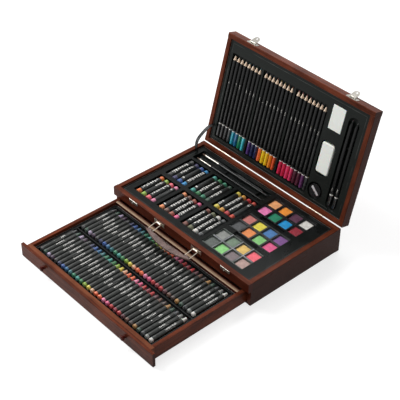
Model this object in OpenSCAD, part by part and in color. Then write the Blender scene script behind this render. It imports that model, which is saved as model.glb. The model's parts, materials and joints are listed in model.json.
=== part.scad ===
// Wooden art case: a hinged lid of pencils, a fixed upper tray and a crayon drawer below.
// Millimetres, +Z up. The origin is the centre of the case's bottom, the front faces -Y.
// The lid is drawn standing open and the drawer pulled out.

/* [Case] */
// Outside width of the case
case_w = 385; // [345:1:430]
// Outside depth of the case
case_d = 240; // [216:1:280]
// Height of the case below the lid
base_h = 54; // [48:1:70]
// Height of the lid
lid_h = 21; // [20:0.5:30]
// Thickness of the wooden walls
wall_t = 10; // [8:0.5:11]
// Thickness of the bottom panel
bottom_t = 3.5; // [3:0.5:5]
// Thickness of the lid's top panel
top_t = 3; // [2:0.5:4]
// Depth of the grooves that hold the panels
groove_d = 3; // [2:0.5:4]
// Rounding of the outer wooden edges
edge_r = 1.2; // [0.5:0.1:2.5]

/* [Upper tray] */
// Thickness of the shelf under the upper tray
shelf_t = 2.5; // [2:0.5:3]
// Gap between that shelf and the tray's deepest pockets
shelf_gap = 1.05; // [0.5:0.05:2]
// How far the tray's rim lies below the wooden rim
tray_drop = 4; // [3:0.5:5]
// Wall of the moulded trays
tray_t = 1; // [0.8:0.1:1.4]
// Gap between a tray and the wood around it
tray_gap = 0.5; // [0.3:0.1:1]
// Flat edge of the upper tray left of the pastels
tray_edge_left = 16.7; // [10:0.1:30]
// Flat edge of the upper tray right of the paints
tray_edge_right = 33; // [10:1:40]
// Flat edge of the upper tray in front of the pastels
tray_edge_front = 19.5; // [6:0.5:30]
// Flat edge of the upper tray behind the brushes
tray_edge_back = 10; // [4:0.5:16]

/* [Pastels] */
// Diameter of a pastel's wrapper
pastel_d = 11.5; // [10:0.1:12]
// Pastels in one pocket
pastel_n = 4; // [3:1:4]
// Distance between neighbouring pastels
pastel_pitch = 14.5; // [13:0.1:15]
// Bare length at each end of a pastel
pastel_bare = 8; // [5:0.5:12]
// Web between pastel pockets along the case
pocket_web_x = 8.4; // [3:0.1:10]
// Web between the two rows of pastel pockets
pocket_web_y = 9.5; // [3:0.5:14]

/* [Paints] */
// Width of a paint palette
palette_w = 108; // [96:0.5:119]
// Height of a paint palette
palette_h = 7; // [5:0.5:8]
// Gap between palettes
palette_gap = 12; // [4:0.5:16]
// Tray in front of the palettes
palette_edge_front = 13.5; // [6:0.5:20]
// Tray behind the palettes
palette_edge_back = 11.5; // [6:0.5:20]
// Wall of a palette at its short ends
palette_wall_x = 0.6; // [0.5:0.1:2]
// Wall of a palette at its long sides
palette_wall_y = 2.2; // [0.5:0.1:4]
// Web between paint cakes along a palette
cake_web_x = 3.5; // [1:0.1:5]
// Web between paint cakes across a palette
cake_web_y = 4.2; // [1:0.1:6]

/* [Brushes] */
// Distance between the brush trough and the palettes
trough_web_x = 12; // [3:0.5:40]
// Web between the brush trough and the pastels
trough_web_y = 6; // [3:0.5:12]
// Depth of the brush trough, front to back
trough_d = 33; // [29:1:40]
// Room that the brushes leave along the trough
brush_room = 6; // [6:1:40]
// Diameter of the long brush's handle
brush_handle_d = 7; // [5:0.1:8]

/* [Drawer] */
// Length of the drawer that stays in the case when it is pulled out
drawer_hold = 1; // [1:1:70]
// Thickness of the drawer's front panel
front_t = 6; // [5:0.5:8]
// Gap between the drawer and the shelf above it
drawer_headroom = 2.5; // [1.5:0.1:4]
// Gap below the drawer's front panel
front_gap = 1; // [0.5:0.1:2]
// Thickness of the drawer's walls
drawer_t = 8; // [6:0.5:9]
// Gap between the drawer and the case at each side
drawer_gap = 1; // [0.6:0.1:1.5]
// Gap between the drawer and the bottom panel that it runs on
runner_gap = 0.3; // [0.2:0.1:0.5]
// Thickness of the drawer's bottom
drawer_bottom_t = 2.5; // [2:0.5:3]
// Length of the drawer's walls behind its back wall
drawer_tail = 9; // [7:0.5:11]
// Diameter of a drawer knob
knob_d = 11; // [9:0.5:14]
// Length of a drawer knob
knob_l = 9.5; // [8:0.5:13]
// Distance of a drawer knob from the case's side
knob_inset = 73.5; // [30:0.5:120]

/* [Crayons] */
// Diameter of a crayon's wrapper
crayon_d = 9.4; // [8:0.1:10]
// Distance between neighbouring crayons
crayon_pitch = 11; // [10.5:0.1:11]
// Web between the two rows of crayons
crayon_web = 2; // [2:0.5:8]

/* [Pencils] */
// Width of a six-sided pencil across its corners
pencil_d = 8; // [7:0.1:8.4]
// Length of a coloured pencil
pencil_l = 180; // [160:1:182]
// Length of a pencil's sharpened point
point_l = 12.5; // [10:0.5:15]
// Length of the dipped colour at a pencil's end
dip_l = 28; // [15:1:40]
// Coloured pencils in one bay
pencil_n = 8; // [6:1:8]
// Distance between neighbouring pencils
pencil_pitch = 10.05; // [9.5:0.05:10.3]
// Web between pencil bays
bay_web = 4.7; // [2.5:0.1:8]

/* [Hinges and lid] */
// Angle by which the lid stands open
lid_open = 105; // [90:1:110]
// Gap between the closed rims
rim_gap = 0.6; // [0.4:0.1:1.2]
// Length of a hinge
hinge_l = 35; // [25:1:45]
// Distance of a hinge's middle from the case's side
hinge_inset = 66; // [30:1:120]
// Outer diameter of a hinge knuckle
knuckle_d = 3; // [2.8:0.1:3.4]
// Diameter of a hinge pin
pin_d = 1.5; // [1.2:0.1:1.7]
// Clearance round the moving pins
pin_fit = 0.05; // [0.03:0.01:0.08]

/* [Latches] */
// Distance of a latch's middle from the case's side
latch_inset = 62; // [30:1:90]
// Width of a hasp
hasp_w = 15; // [13:0.5:17]
// Length of a hasp from its pin
hasp_l = 16; // [15:0.5:18]
// Angle between a resting hasp and its fastened place
hasp_open = 148; // [120:1:150]
// Width of a latch plate
latch_plate_w = 27.5; // [25:0.5:30]
// Width of a catch plate
catch_w = 25; // [22:0.5:28]

/* [Handle] */
// Distance between the handle's two plates
handle_spacing = 105; // [90:1:120]
// Reach of a wire ring from its pin to the grip
ring_reach = 21; // [18:0.5:23]
// Outer width of a wire ring
ring_w = 15; // [13:0.5:17]
// Diameter of the ring wire
wire_d = 1.6; // [1.4:0.1:2]
// Width of the grip
grip_w = 12.5; // [10:0.5:14]
// Thickness of the grip
grip_t = 5; // [4:0.5:5]
// How far the grip bows out
grip_bow = 9; // [7:0.5:12]
// Angle by which the handle droops
handle_droop = 12; // [6:1:16]

/* [Hidden] */
$fn = 48;
eps = 0.01;

// Wood
WOOD_RIM = [0.50, 0.28, 0.24];
WOOD_DARK = [0.26, 0.14, 0.12];
WOOD_PALE = [0.70, 0.58, 0.46];
// Plastic, paint and metal
TRAY_BLACK = [0.12, 0.13, 0.13];
PENCIL_BLACK = [0.09, 0.09, 0.10];
WRAPPER = [0.16, 0.16, 0.17];
NICKEL = [0.82, 0.78, 0.75];
BRASS = [0.78, 0.68, 0.50];
LEATHER = [0.48, 0.37, 0.35];
WHITE = [0.93, 0.93, 0.92];

// Case
in_w = case_w - 2 * wall_t;
in_d = case_d - 2 * wall_t;
left_x = -case_w / 2;
front_y = -case_d / 2;
back_y = case_d / 2;
side_set = 0.3;
case_side_y = front_y + front_t + side_set;
panel_fit = 0.05;
tray_w = in_w - 2 * tray_gap;
tray_d = in_d - 2 * tray_gap;
tray_top = base_h - tray_drop;
pocket_r = 2;
stick_gap = 0.2;
cradle_h = 1.5;
cradle_fit = 0.1;

// Shelf, as deep below the tray as its pastel pockets ask for
pastel_sink = 6;
pastel_z = tray_top - pastel_sink;
pocket_floor = pastel_z - pastel_d / 2 - stick_gap;
shelf_top = pocket_floor - tray_t - shelf_gap;
shelf_z = shelf_top - shelf_t;

// Hinges: the pin's axis runs along X at hinge_y, hinge_z
hinge_spacing = case_w - 2 * hinge_inset;
hinge_z = base_h + rim_gap / 2;
hinge_off = 0.6;
hinge_y = back_y + hinge_off;
leaf_t = 0.8;
leaf_h = 8;
knuckle_n = 5;
knuckle_gap = 0.2;
knuckle_room = 0.2;
leaf_near = knuckle_d / 2 + knuckle_room;
hinge_screw_in = 4.9;
screw_head_d = 3.2;
screw_shank_d = 1.6;
screw_head_h = 1.0;
screw_l = 7;
screw_fit = 0.05;

// Lid, drawn closed and then turned up round the hinge pin
lid_z0 = base_h + rim_gap;
lid_top = lid_z0 + lid_h;
lid_tray_n = 3;
lid_tray_z = lid_z0 + lid_tray_n;
tray_back_n = lid_h - top_t;

// Palettes, from the case's left front corner
palette_n = 3;
palette_d = (in_d - palette_edge_front - palette_edge_back - (palette_n - 1) * palette_gap) / palette_n;
palette_pitch = palette_d + palette_gap;
palette_x0 = case_w - wall_t - tray_edge_right - palette_w / 2;
palette_y0 = wall_t + palette_edge_front + palette_d / 2;
palette_fit = 0.6;
palette_sink = 1;
palette_z = tray_top - palette_sink - palette_h;
palette_left = palette_x0 - palette_w / 2;
well_fit = 0.3;
cake_cols = 4;
cake_rows = 2;
well_w = (palette_w - 2 * palette_wall_x - (cake_cols - 1) * cake_web_x) / cake_cols;
well_d = (palette_d - 2 * palette_wall_y - (cake_rows - 1) * cake_web_y) / cake_rows;
cake_w = well_w - 2 * well_fit;
cake_d = well_d - 2 * well_fit;
cake_h = 3.5;
cake_sink = 2.5;
cake_edge = 1.1;
scoop_l = 60;
scoop_h = 6;

// Brush trough
trough_side = 14;
trough_x0 = wall_t + trough_side;
trough_y0 = case_d - wall_t - tray_edge_back - trough_d;
trough_w = palette_left - trough_web_x - trough_x0;
trough_floor = 6.5;

// Pastel pockets: as many as fit beside the palettes, as long as fit before the trough
pocket_side = 1.3;
pocket_end = 2.5;
pocket_rows = 2;
pocket_w = pastel_n * pastel_pitch + 2 * pocket_side;
pocket_pitch_x = pocket_w + pocket_web_x;
pocket_left = wall_t + tray_edge_left;
pocket_cols = floor((palette_left - pocket_left) / pocket_pitch_x);
pocket_front = wall_t + tray_edge_front;
pocket_d = (trough_y0 - trough_web_y - pocket_front + pocket_web_y) / pocket_rows - pocket_web_y;
pocket_pitch_y = pocket_d + pocket_web_y;
pocket_x0 = pocket_left + pocket_w / 2;
pocket_y0 = pocket_front + pocket_d / 2;
pastel_l = pocket_d - 2 * pocket_end;
pastel_core_d = pastel_d - 0.8;
pastel_comb_t = 6;
wrap_fit = 0.05;

// Brushes along X, from the trough's left front corner: place of the tip, hair, ferrule, thickness
brushes = [[2, 25, 10, 40, 1], [5, 7.6, 9, 33, 0.72]];
brush_l = trough_w - brush_room;
brush_z = tray_top - trough_floor + brush_handle_d / 2 + stick_gap;
ferrule_d = 5;
ferrule_grip = 4;
ferrule_wall = 0.4;
brush_swell = 18;
brush_belly = 12;
brush_end = 4;
brush_comb_t = 5;
brush_comb_fit = 0.15;
brush_comb_drop = 1;
brush_comb_x = [80, trough_w - 26];

// Drawer, drawn pulled out by drawer_travel
drawer_top = shelf_z - drawer_headroom;
front_h = drawer_top - front_gap;
drawer_back_gap = 1;
drawer_l = case_d - wall_t - front_t - drawer_back_gap;
drawer_travel = drawer_l - drawer_hold;
drawer_y = front_y - drawer_travel + front_t;
drawer_back_y = drawer_y + drawer_l - drawer_tail - drawer_t;
drawer_w = in_w - 2 * drawer_gap;
drawer_z = bottom_t + runner_gap;
drawer_sill = 0.7;
drawer_floor = drawer_z + drawer_sill;
drawer_tray_drop = 6;
drawer_tray_top = drawer_top - drawer_tray_drop;
drawer_in_w = drawer_w - 2 * drawer_t - 2 * tray_gap;
drawer_in_d = drawer_back_y - drawer_y - drawer_t - 2 * tray_gap;
drawer_tray_y = drawer_y + drawer_t + tray_gap + drawer_in_d / 2;
knob_spacing = case_w - 2 * knob_inset;
knob_rise = 4;
knob_z = front_gap + front_h / 2 + knob_rise;
knob_tenon_d = 5;
knob_tenon_l = 5;

// Crayons: as many as fit across the drawer, as long as two rows leave room for
crayon_edge_x = 5;
crayon_edge_front = 2;
crayon_edge_back = 5;
crayon_rows = 2;
crayon_n = floor((drawer_in_w - 2 * crayon_edge_x - 2 * pocket_side) / crayon_pitch);
crayon_pocket_w = crayon_n * crayon_pitch + 2 * pocket_side;
crayon_zone_d = drawer_in_d - crayon_edge_front - crayon_edge_back;
crayon_pocket_d = (crayon_zone_d + crayon_web) / crayon_rows - crayon_web;
crayon_row_pitch = crayon_pocket_d + crayon_web;
crayon_row_y = drawer_y + drawer_t + tray_gap + crayon_edge_front + crayon_pocket_d / 2;
crayon_pocket_end = 5.5;
crayon_l = crayon_pocket_d - 2 * crayon_pocket_end;
crayon_core_d = crayon_d - 0.6;
crayon_bare = 5;
crayon_tip_l = 9;
crayon_tip_d = 4.4;
crayon_shoulder = 1;
crayon_wrap_back = 1.5;
crayon_sink = 0.5;
crayon_comb_t = 5;
crayon_axis_z = drawer_tray_top - crayon_sink;
crayon_floor = crayon_axis_z - crayon_d / 2 - stick_gap;

// Lid tray layout, x from the left edge and u from the hinge edge
pencil_x0 = 27.5;
pencil_end_u = 22.3;
pencil_sink = 3.2;
pencil_axis_n = lid_tray_n + pencil_sink;
pencil_comb_u = [60, 147];
pencil_comb_t = 4;
pencil_cradle_h = 1;
pencil_cradle_fit = 0.15;
lead_l = 3.2;
lead_d = 2;
lead_end_d = 0.3;
bay_end = 2.5;
bay_floor_n = pencil_axis_n + pencil_d / 2 + stick_gap;
bay_w = pencil_n * pencil_pitch + 2 * pocket_side;
bay_l = pencil_l + 2 * bay_end;
bay_pitch = bay_w + bay_web;
bay_left = pencil_x0 - pencil_pitch / 2 - pocket_side;
sketch_inset = [46.5, 34];
sketch_x = [case_w - sketch_inset[0], case_w - sketch_inset[1]];
sketch_pitch = sketch_x[1] - sketch_x[0];
sketch_mid = (sketch_x[0] + sketch_x[1]) / 2;
sketch_w = sketch_pitch + pencil_d + 6;
sketch_end = 7;
thing_fit = 0.6;
seat_gap = 0.2;
sharpener_inset = 84.5;
sharpener_x = case_w - sharpener_inset;
sharpener_u = 35;
sharpener_d = 28;
sharpener_recess_d = 36;
sharpener_room = 2;
sharpener_h = tray_back_n - lid_tray_n - tray_t - sharpener_room;
sharpener_set = 1;
blade_size = [22, 5, 0.8];
blade_turn = 34;
blade_fit = 0.2;
block_size = [31, 49, 9];
block_inset = [79.5, 50.5];
block_x = case_w - block_inset[0];
block_u = case_d - block_inset[1];
eraser_size = [29.5, 63, 11];
eraser_r = 4;
eraser_room = [6, 8];
eraser_room_r = 12;
eraser_inset = 81.8;
eraser_x = case_w - eraser_inset;
eraser_share = 0.47;
tools_low = sharpener_u + sharpener_recess_d / 2;
tools_high = block_u - (block_size[1] + thing_fit) / 2;
eraser_u = tools_low + eraser_share * (tools_high - tools_low);
bay_n = floor((sharpener_x - sharpener_recess_d / 2 - bay_left + bay_web) / bay_pitch);

// Latches
latch_spacing = case_w - 2 * latch_inset;
latch_pin_n = 6.8;
latch_pin_off = 2.6;
latch_barrel_d = 3;
latch_lug_w = 2;
latch_lug_gap = 0.15;
latch_pin_d = 1.2;
latch_plate_t = 0.8;
latch_plate_n0 = 2;
latch_plate_h = 10;
latch_plate_r = 2.5;
latch_screw_in = 3;
lug_x = (hasp_w - 2 * latch_lug_w - 4 * latch_lug_gap) / 2;
catch_drop = 4;
catch_z = base_h - catch_drop;
catch_t = 0.7;
catch_h = 6.5;
catch_r = 1.5;
catch_lift = 0.3;
catch_screw_in = 2.6;
catch_post_d = 3;
catch_post_l = 3.8;
catch_roll_d = 1.6;
hasp_t = 0.9;
hasp_hole_d = 4;
hasp_hole_at = latch_pin_n + rim_gap + catch_drop;

// Handle
plate_drop = 7.5;
plate_z = base_h - plate_drop;
plate_w = 28;
plate_h = 9;
plate_t = 0.8;
plate_waist = 5;
plate_screw_in = 3.4;
eye_off = 2.1;
eye_d = 3.8;
eye_l = 10.5;
ring_corner_r = 1.8;
ring_half = (ring_w - wire_d) / 2;
ring_fit = 0.15;
boss_d = 5;
boss_l = 10.2;
bow_r = (pow(handle_spacing / 2, 2) + pow(grip_bow, 2)) / (2 * grip_bow);
bow_half = asin(handle_spacing / 2 / bow_r);

// Strap at the left: its middle line in y from the back face and z above the case's rim, lid end first,
// between a point on the lid's tray and one on the upper tray
strap_x = 14.3;
strap_w = 7.6;
strap_t = 0.9;
strap_u = 42.6;
strap_seat = 0.2;
strap_route = concat(
    [lid_point(strap_u, lid_tray_n - strap_seat)],
    [[12, 41.9], [7.5, 41.8], [1, 42], [-5.5, 40.6], [-13, 37], [-19.6, 33.2], [-25.5, 29.4],
     [-30.5, 24.6], [-33.6, 19], [-35.1, 13], [-35.4, 7], [-34.6, 1.5]],
    [[-33, strap_seat - tray_drop]]
);

// A point of the open lid, u from its hinge edge and n above its rim, in y from the back face and z
// above the case's rim
function lid_point(u, n) =
    let (dy = -u - hinge_y + back_y, dz = n + rim_gap / 2, c = cos(lid_open), s = sin(lid_open))
    [hinge_y - back_y + dy * c + dz * s, rim_gap / 2 - dy * s + dz * c];

// ---------------------------------------------------------------- placing and shared shapes

// From the case's left front bottom corner
module from_corner(x, y, z) {
    translate([left_x + x, front_y + y, z]) children();
}

// The closed lid turned up to where it is drawn
module lid_opened() {
    translate([0, hinge_y, hinge_z])
        rotate([-lid_open, 0, 0])
        translate([0, -hinge_y, -hinge_z])
        children();
}

// In the closed lid: x from the left edge, u from the hinge edge, n above the rim
module in_lid(x, u, n) {
    translate([left_x + x, back_y - u, lid_z0 + n]) children();
}

// Both sides of the middle plane
module pair(spacing) {
    for (s = [-1, 1]) {
        translate([s * spacing / 2, 0, 0]) children();
    }
}

// A block that is centred in X and Y and stands on z = 0
module slab(w, d, h) {
    translate([-w / 2, -d / 2, 0]) cube([w, d, h]);
}

// The same with round upright corners
module round_slab(w, d, h, r) {
    linear_extrude(height = h) {
        square([w - 2 * r, d], center = true);
        square([w, d - 2 * r], center = true);
        for (x = [-1, 1], y = [-1, 1]) {
            translate([x * (w / 2 - r), y * (d / 2 - r)]) circle(r);
        }
    }
}

// A bar along X from x0, its section in Y and Z, with round edges where asked:
// front low, front high, back high, back low
module board_x(x0, w, y0, d, z0, h, round = [0, 0, 0, 0]) {
    translate([x0, y0, z0])
        rotate([90, 0, 90])
        linear_extrude(height = w)
        board_section(d, h, round);
}

// A bar along Y: its section in X and Z, with round edges in the same order, left first
module board_y(x0, w, y0, d, z0, h, round = [0, 0, 0, 0]) {
    translate([x0, y0 + d, z0])
        rotate([90, 0, 0])
        linear_extrude(height = d)
        board_section(w, h, round);
}

module board_section(w, h, round) {
    difference() {
        square([w, h]);
        if (round[0] > 0) edge_cut(0, 0, 0);
        if (round[1] > 0) edge_cut(0, h, 270);
        if (round[2] > 0) edge_cut(w, h, 180);
        if (round[3] > 0) edge_cut(w, 0, 90);
    }
}

// What the rounding takes off a corner at x, y
module edge_cut(x, y, turn) {
    translate([x, y])
        rotate(turn)
        difference() {
            translate([-eps, -eps]) square(edge_r + eps);
            translate([edge_r, edge_r]) circle(edge_r);
        }
}

// A countersunk screw: its head's top at z = 0, its shank down
module screw(grow = 0) {
    shank = screw_shank_d + 2 * grow;
    head = screw_head_d + 2 * grow;
    translate([0, 0, -screw_head_h]) cylinder(h = screw_head_h + grow, d1 = shank, d2 = head, $fn = 24);
    translate([0, 0, -screw_l - grow]) cylinder(h = screw_l + grow, d = shank, $fn = 24);
}

// A comb of round notches that cradles a row of sticks lying along Y
module comb(n, pitch, stick_d, thick, low, high) {
    w = n * pitch;
    difference() {
        translate([-w / 2, -thick / 2, low]) cube([w, thick, high - low]);
        for (i = [0 : n - 1]) {
            translate([(i - (n - 1) / 2) * pitch, 0, 0])
                rotate([90, 0, 0])
                cylinder(h = thick + 1, d = stick_d, center = true, $fn = 24);
        }
    }
}

// ---------------------------------------------------------------- case

module side_panel_blank() {
    board_y(0, wall_t, case_side_y, back_y - wall_t - case_side_y, 0, shelf_z, [1, 0, 0, 0]);
    board_y(0, wall_t, front_y + wall_t, in_d, shelf_z - eps, base_h - shelf_z + eps, [0, 1, 0, 0]);
}

// The left wall; the right one is its mirror image
module case_side() {
    difference() {
        translate([left_x, 0, 0]) side_panel_blank();
        bottom_panel_shape(panel_fit);
        shelf_shape(panel_fit);
    }
}

module case_left_side() {
    color(WOOD_RIM) case_side();
}

module case_right_side() {
    color(WOOD_RIM) mirror([1, 0, 0]) case_side();
}

module case_back_wall() {
    color(WOOD_RIM) difference() {
        board_x(left_x, case_w, back_y - wall_t, wall_t, 0, base_h, [0, 0, 1, 1]);
        bottom_panel_shape(panel_fit);
        shelf_shape(panel_fit);
        case_screws_placed(screw_fit);
        knuckle_recess();
    }
}

module case_front_rail() {
    color(WOOD_RIM) difference() {
        board_x(left_x, case_w, front_y, wall_t, shelf_z, base_h - shelf_z, [1, 1, 0, 0]);
        shelf_shape(panel_fit);
        catch_screws_placed(screw_fit);
        handle_screws_placed(screw_fit);
    }
}

module bottom_panel_shape(grow = 0) {
    w = in_w + 2 * groove_d;
    y0 = case_side_y;
    y1 = back_y - wall_t + groove_d;
    translate([-w / 2 - grow, y0 - grow, -grow])
        cube([w + 2 * grow, y1 - y0 + 2 * grow, bottom_t + 2 * grow]);
}

module case_bottom_panel() {
    color(WOOD_DARK) bottom_panel_shape();
}

module shelf_shape(grow = 0) {
    w = in_w + 2 * groove_d;
    d = in_d + 2 * groove_d;
    translate([0, 0, shelf_z - grow]) slab(w + 2 * grow, d + 2 * grow, shelf_t + 2 * grow);
}

module tray_shelf() {
    color(WOOD_PALE) shelf_shape();
}

// ---------------------------------------------------------------- upper tray and its contents

module each_pocket() {
    for (c = [0 : pocket_cols - 1], r = [0 : pocket_rows - 1]) {
        from_corner(pocket_x0 + c * pocket_pitch_x, pocket_y0 + r * pocket_pitch_y, 0) children();
    }
}

module each_palette() {
    for (i = [0 : palette_n - 1]) {
        palette_place(i) children();
    }
}

module palette_place(i) {
    from_corner(palette_x0, palette_y0 + i * palette_pitch, 0) children();
}

module trough_place(z) {
    from_corner(trough_x0 + trough_w / 2, trough_y0 + trough_d / 2, z) children();
}

module tray_hollows(grow) {
    each_pocket()
        translate([0, 0, pocket_floor - grow])
        round_slab(pocket_w + 2 * grow, pocket_d + 2 * grow,
            tray_top - pocket_floor + grow, pocket_r + grow);
    each_palette()
        translate([0, 0, palette_z - palette_fit / 2 - grow])
        round_slab(palette_w + palette_fit + 2 * grow, palette_d + palette_fit + 2 * grow,
            tray_top - palette_z + palette_fit / 2 + grow, pocket_r + grow);
    trough_place(tray_top - trough_floor - grow)
        round_slab(trough_w + 2 * grow, trough_d + 2 * grow, trough_floor + grow, pocket_r + grow);
    for (i = [0 : palette_n - 2]) {
        palette_place(i)
            translate([0, palette_pitch / 2, tray_top - scoop_h - grow])
            slab(scoop_l + 2 * grow, palette_gap, scoop_h + grow);
    }
}

module upper_tray() {
    color(TRAY_BLACK) {
        difference() {
            union() {
                translate([0, 0, tray_top - tray_t]) round_slab(tray_w, tray_d, tray_t, pocket_r);
                difference() {
                    translate([0, 0, shelf_top]) round_slab(tray_w, tray_d, tray_top - shelf_top, pocket_r);
                    translate([0, 0, shelf_top - eps])
                        round_slab(tray_w - 2 * tray_t, tray_d - 2 * tray_t,
                            tray_top - shelf_top, pocket_r - tray_t / 2);
                }
                tray_hollows(tray_t);
            }
            translate([0, 0, eps]) tray_hollows(0);
        }
        each_pocket()
            pastel_combs();
        for (x = brush_comb_x) {
            from_corner(trough_x0 + x, trough_y0, 0) brush_comb(x);
        }
    }
}

module pastel_combs() {
    for (y = [-1, 1]) {
        translate([0, y * pastel_l / 4, pastel_z])
            comb(pastel_n, pastel_pitch, pastel_d + 2 * cradle_fit, pastel_comb_t,
                pocket_floor - pastel_z - eps, -cradle_h);
    }
}

// A low bar across the trough at x from its left end, with a round notch that fits each brush
module brush_comb(x) {
    floor_z = tray_top - trough_floor;
    difference() {
        translate([-brush_comb_t / 2, 0, floor_z - eps])
            cube([brush_comb_t, trough_d, brush_z - floor_z - brush_comb_drop]);
        for (b = brushes) {
            notch_r = brush_r(b, x - b[0]) + brush_comb_fit;
            translate([0, b[1], brush_z])
                rotate([0, 90, 0])
                cylinder(h = brush_comb_t + 1, r = notch_r, center = true, $fn = 24);
        }
    }
}

module each_pastel() {
    each_pocket()
        for (i = [0 : pastel_n - 1]) {
            translate([(i - (pastel_n - 1) / 2) * pastel_pitch, 0, pastel_z])
                rotate([90, 0, 0])
                children();
        }
}

module pastel_sticks() {
    color([0.85, 0.45, 0.20]) each_pastel()
        cylinder(h = pastel_l, d = pastel_core_d, center = true, $fn = 32);
}

module pastel_wrappers() {
    color(WRAPPER) each_pastel()
        difference() {
            cylinder(h = pastel_l - 2 * pastel_bare, d = pastel_d, center = true, $fn = 32);
            cylinder(h = pastel_l, d = pastel_core_d + 2 * wrap_fit, center = true, $fn = 32);
        }
}

module each_cake() {
    for (c = [0 : cake_cols - 1], r = [0 : cake_rows - 1]) {
        translate([
            (c - (cake_cols - 1) / 2) * (well_w + cake_web_x),
            (r - (cake_rows - 1) / 2) * (well_d + cake_web_y), 0,
        ])
            children();
    }
}

module palette() {
    color(TRAY_BLACK) difference() {
        translate([0, 0, palette_z]) round_slab(palette_w, palette_d, palette_h, pocket_r);
        each_cake()
            translate([0, 0, palette_z + palette_h - cake_sink - cake_h])
            slab(well_w, well_d, cake_h + cake_sink + 1);
    }
}

// A pressed cake of paint with a bevelled rim
module cake() {
    z0 = palette_z + palette_h - cake_sink - cake_h;
    translate([0, 0, z0])
        intersection() {
            slab(cake_w, cake_d, cake_h);
            cake_wedge(cake_w);
            rotate(90) cake_wedge(cake_d);
        }
}

// A long bar with bevelled upper edges, as wide as w
module cake_wedge(w) {
    rotate([90, 0, 0])
        linear_extrude(height = palette_w, center = true)
        polygon([
            [-w / 2, 0], [w / 2, 0], [w / 2, cake_h - cake_edge],
            [w / 2 - cake_edge, cake_h], [cake_edge - w / 2, cake_h], [-w / 2, cake_h - cake_edge],
        ]);
}

module palette_front() {
    palette_place(0) palette();
}

module palette_middle() {
    palette_place(1) palette();
}

module palette_rear() {
    palette_place(2) palette();
}

module paint_cakes_front() {
    color([0.55, 0.60, 0.55]) palette_place(0) each_cake() cake();
}

module paint_cakes_middle() {
    color([0.90, 0.60, 0.40]) palette_place(1) each_cake() cake();
}

module paint_cakes_rear() {
    color([0.95, 0.55, 0.60]) palette_place(2) each_cake() cake();
}

// ---------------------------------------------------------------- brushes

function handle_start(b) = b[2] + b[3] - ferrule_grip;
function belly_end(b) = handle_start(b) + ferrule_grip + brush_swell + brush_belly;

// Radius of a brush's handle at z from its tip, behind the belly
function brush_r(b, z) =
    brush_handle_d * b[4] * (0.5 - 0.2 * max(0, z - belly_end(b)) / (brush_l - brush_end - belly_end(b)));

// Each brush along its own +Z, from the tip of its hair
module brush_place(b) {
    from_corner(trough_x0 + b[0], trough_y0 + b[1], brush_z) rotate([0, 90, 0]) children();
}

module brush_handle(b) {
    seat = ferrule_d * b[4] - 2 * ferrule_wall;
    top_r = ferrule_d * b[4] / 2;
    z0 = handle_start(b);
    z1 = z0 + ferrule_grip;
    rotate_extrude($fn = 32)
        polygon([
            [0, z0], [seat / 2, z0], [seat / 2, z1], [top_r, z1 + 0.05],
            [brush_r(b, 0), z1 + brush_swell], [brush_r(b, 0), belly_end(b)],
            [brush_r(b, brush_l - brush_end), brush_l - brush_end], [1, brush_l], [0, brush_l],
        ]);
}

module brush_ferrule(b) {
    wide = ferrule_d * b[4];
    translate([0, 0, b[2]]) difference() {
        cylinder(h = b[3], d1 = wide * 0.8, d2 = wide, $fn = 32);
        translate([0, 0, b[3] - ferrule_grip - wrap_fit])
            cylinder(h = ferrule_grip + 1, d = wide - ferrule_wall * 2 + 2 * wrap_fit, $fn = 32);
    }
}

module brush_tuft(b) {
    wide = ferrule_d * b[4] * 0.38;
    rotate_extrude($fn = 32)
        polygon([[0, 0], [wide * 0.15, 0], [wide * 0.7, b[2] * 0.4], [wide, b[2]], [0, b[2]]]);
}

module brush_handles() {
    color(PENCIL_BLACK) for (b = brushes) {
        brush_place(b) brush_handle(b);
    }
}

module brush_ferrules() {
    color(NICKEL) for (b = brushes) {
        brush_place(b) brush_ferrule(b);
    }
}

module brush_bristles() {
    color(WOOD_PALE) for (b = brushes) {
        brush_place(b) brush_tuft(b);
    }
}

// ---------------------------------------------------------------- hinges

knuckle_w = (hinge_l - (knuckle_n - 1) * knuckle_gap) / knuckle_n;

// Knuckles of one leaf, every second one from first
module knuckles(first) {
    for (i = [first : 2 : knuckle_n - 1]) {
        translate([-hinge_l / 2 + i * (knuckle_w + knuckle_gap), hinge_y, hinge_z])
            rotate([0, 90, 0])
            cylinder(h = knuckle_w, d = knuckle_d);
    }
}

module hinge_bore() {
    translate([0, hinge_y, hinge_z])
        rotate([0, 90, 0])
        cylinder(h = hinge_l + 2, d = pin_d + 2 * pin_fit, center = true);
}

// One leaf on the back's face, going up or down from the pin, with its knuckles
module leaf(first, up) {
    difference() {
        union() {
            translate([-hinge_l / 2, back_y, hinge_z + (up ? leaf_near : -leaf_near - leaf_h)])
                cube([hinge_l, leaf_t, leaf_h]);
            for (i = [first : 2 : knuckle_n - 1]) {
                x = -hinge_l / 2 + i * (knuckle_w + knuckle_gap);
                translate([x, back_y, hinge_z - (up ? 0 : leaf_near + eps)])
                    cube([knuckle_w, leaf_t, leaf_near + eps]);
            }
            knuckles(first);
        }
        hinge_bore();
    }
}

// Room for the knuckles in the backs of the case and the lid
module knuckle_recess() {
    pair(hinge_spacing)
        translate([0, hinge_y, hinge_z])
        rotate([0, 90, 0])
        cylinder(h = hinge_l + 2 * knuckle_room, r = leaf_near, center = true);
}

module hinge_screw_places(up) {
    reach = hinge_l / 2 - hinge_screw_in;
    for (x = [-reach, 0, reach]) {
        translate([x, back_y + leaf_t, hinge_z + (up ? 1 : -1) * (leaf_near + leaf_h / 2)])
            rotate([-90, 0, 0])
            children();
    }
}

module hinge_case_leaves() {
    color(BRASS) difference() {
        pair(hinge_spacing) leaf(0, false);
        case_screws_placed(screw_fit);
    }
}

module case_screws_placed(grow = 0) {
    pair(hinge_spacing) hinge_screw_places(false) screw(grow = grow);
}

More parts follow.
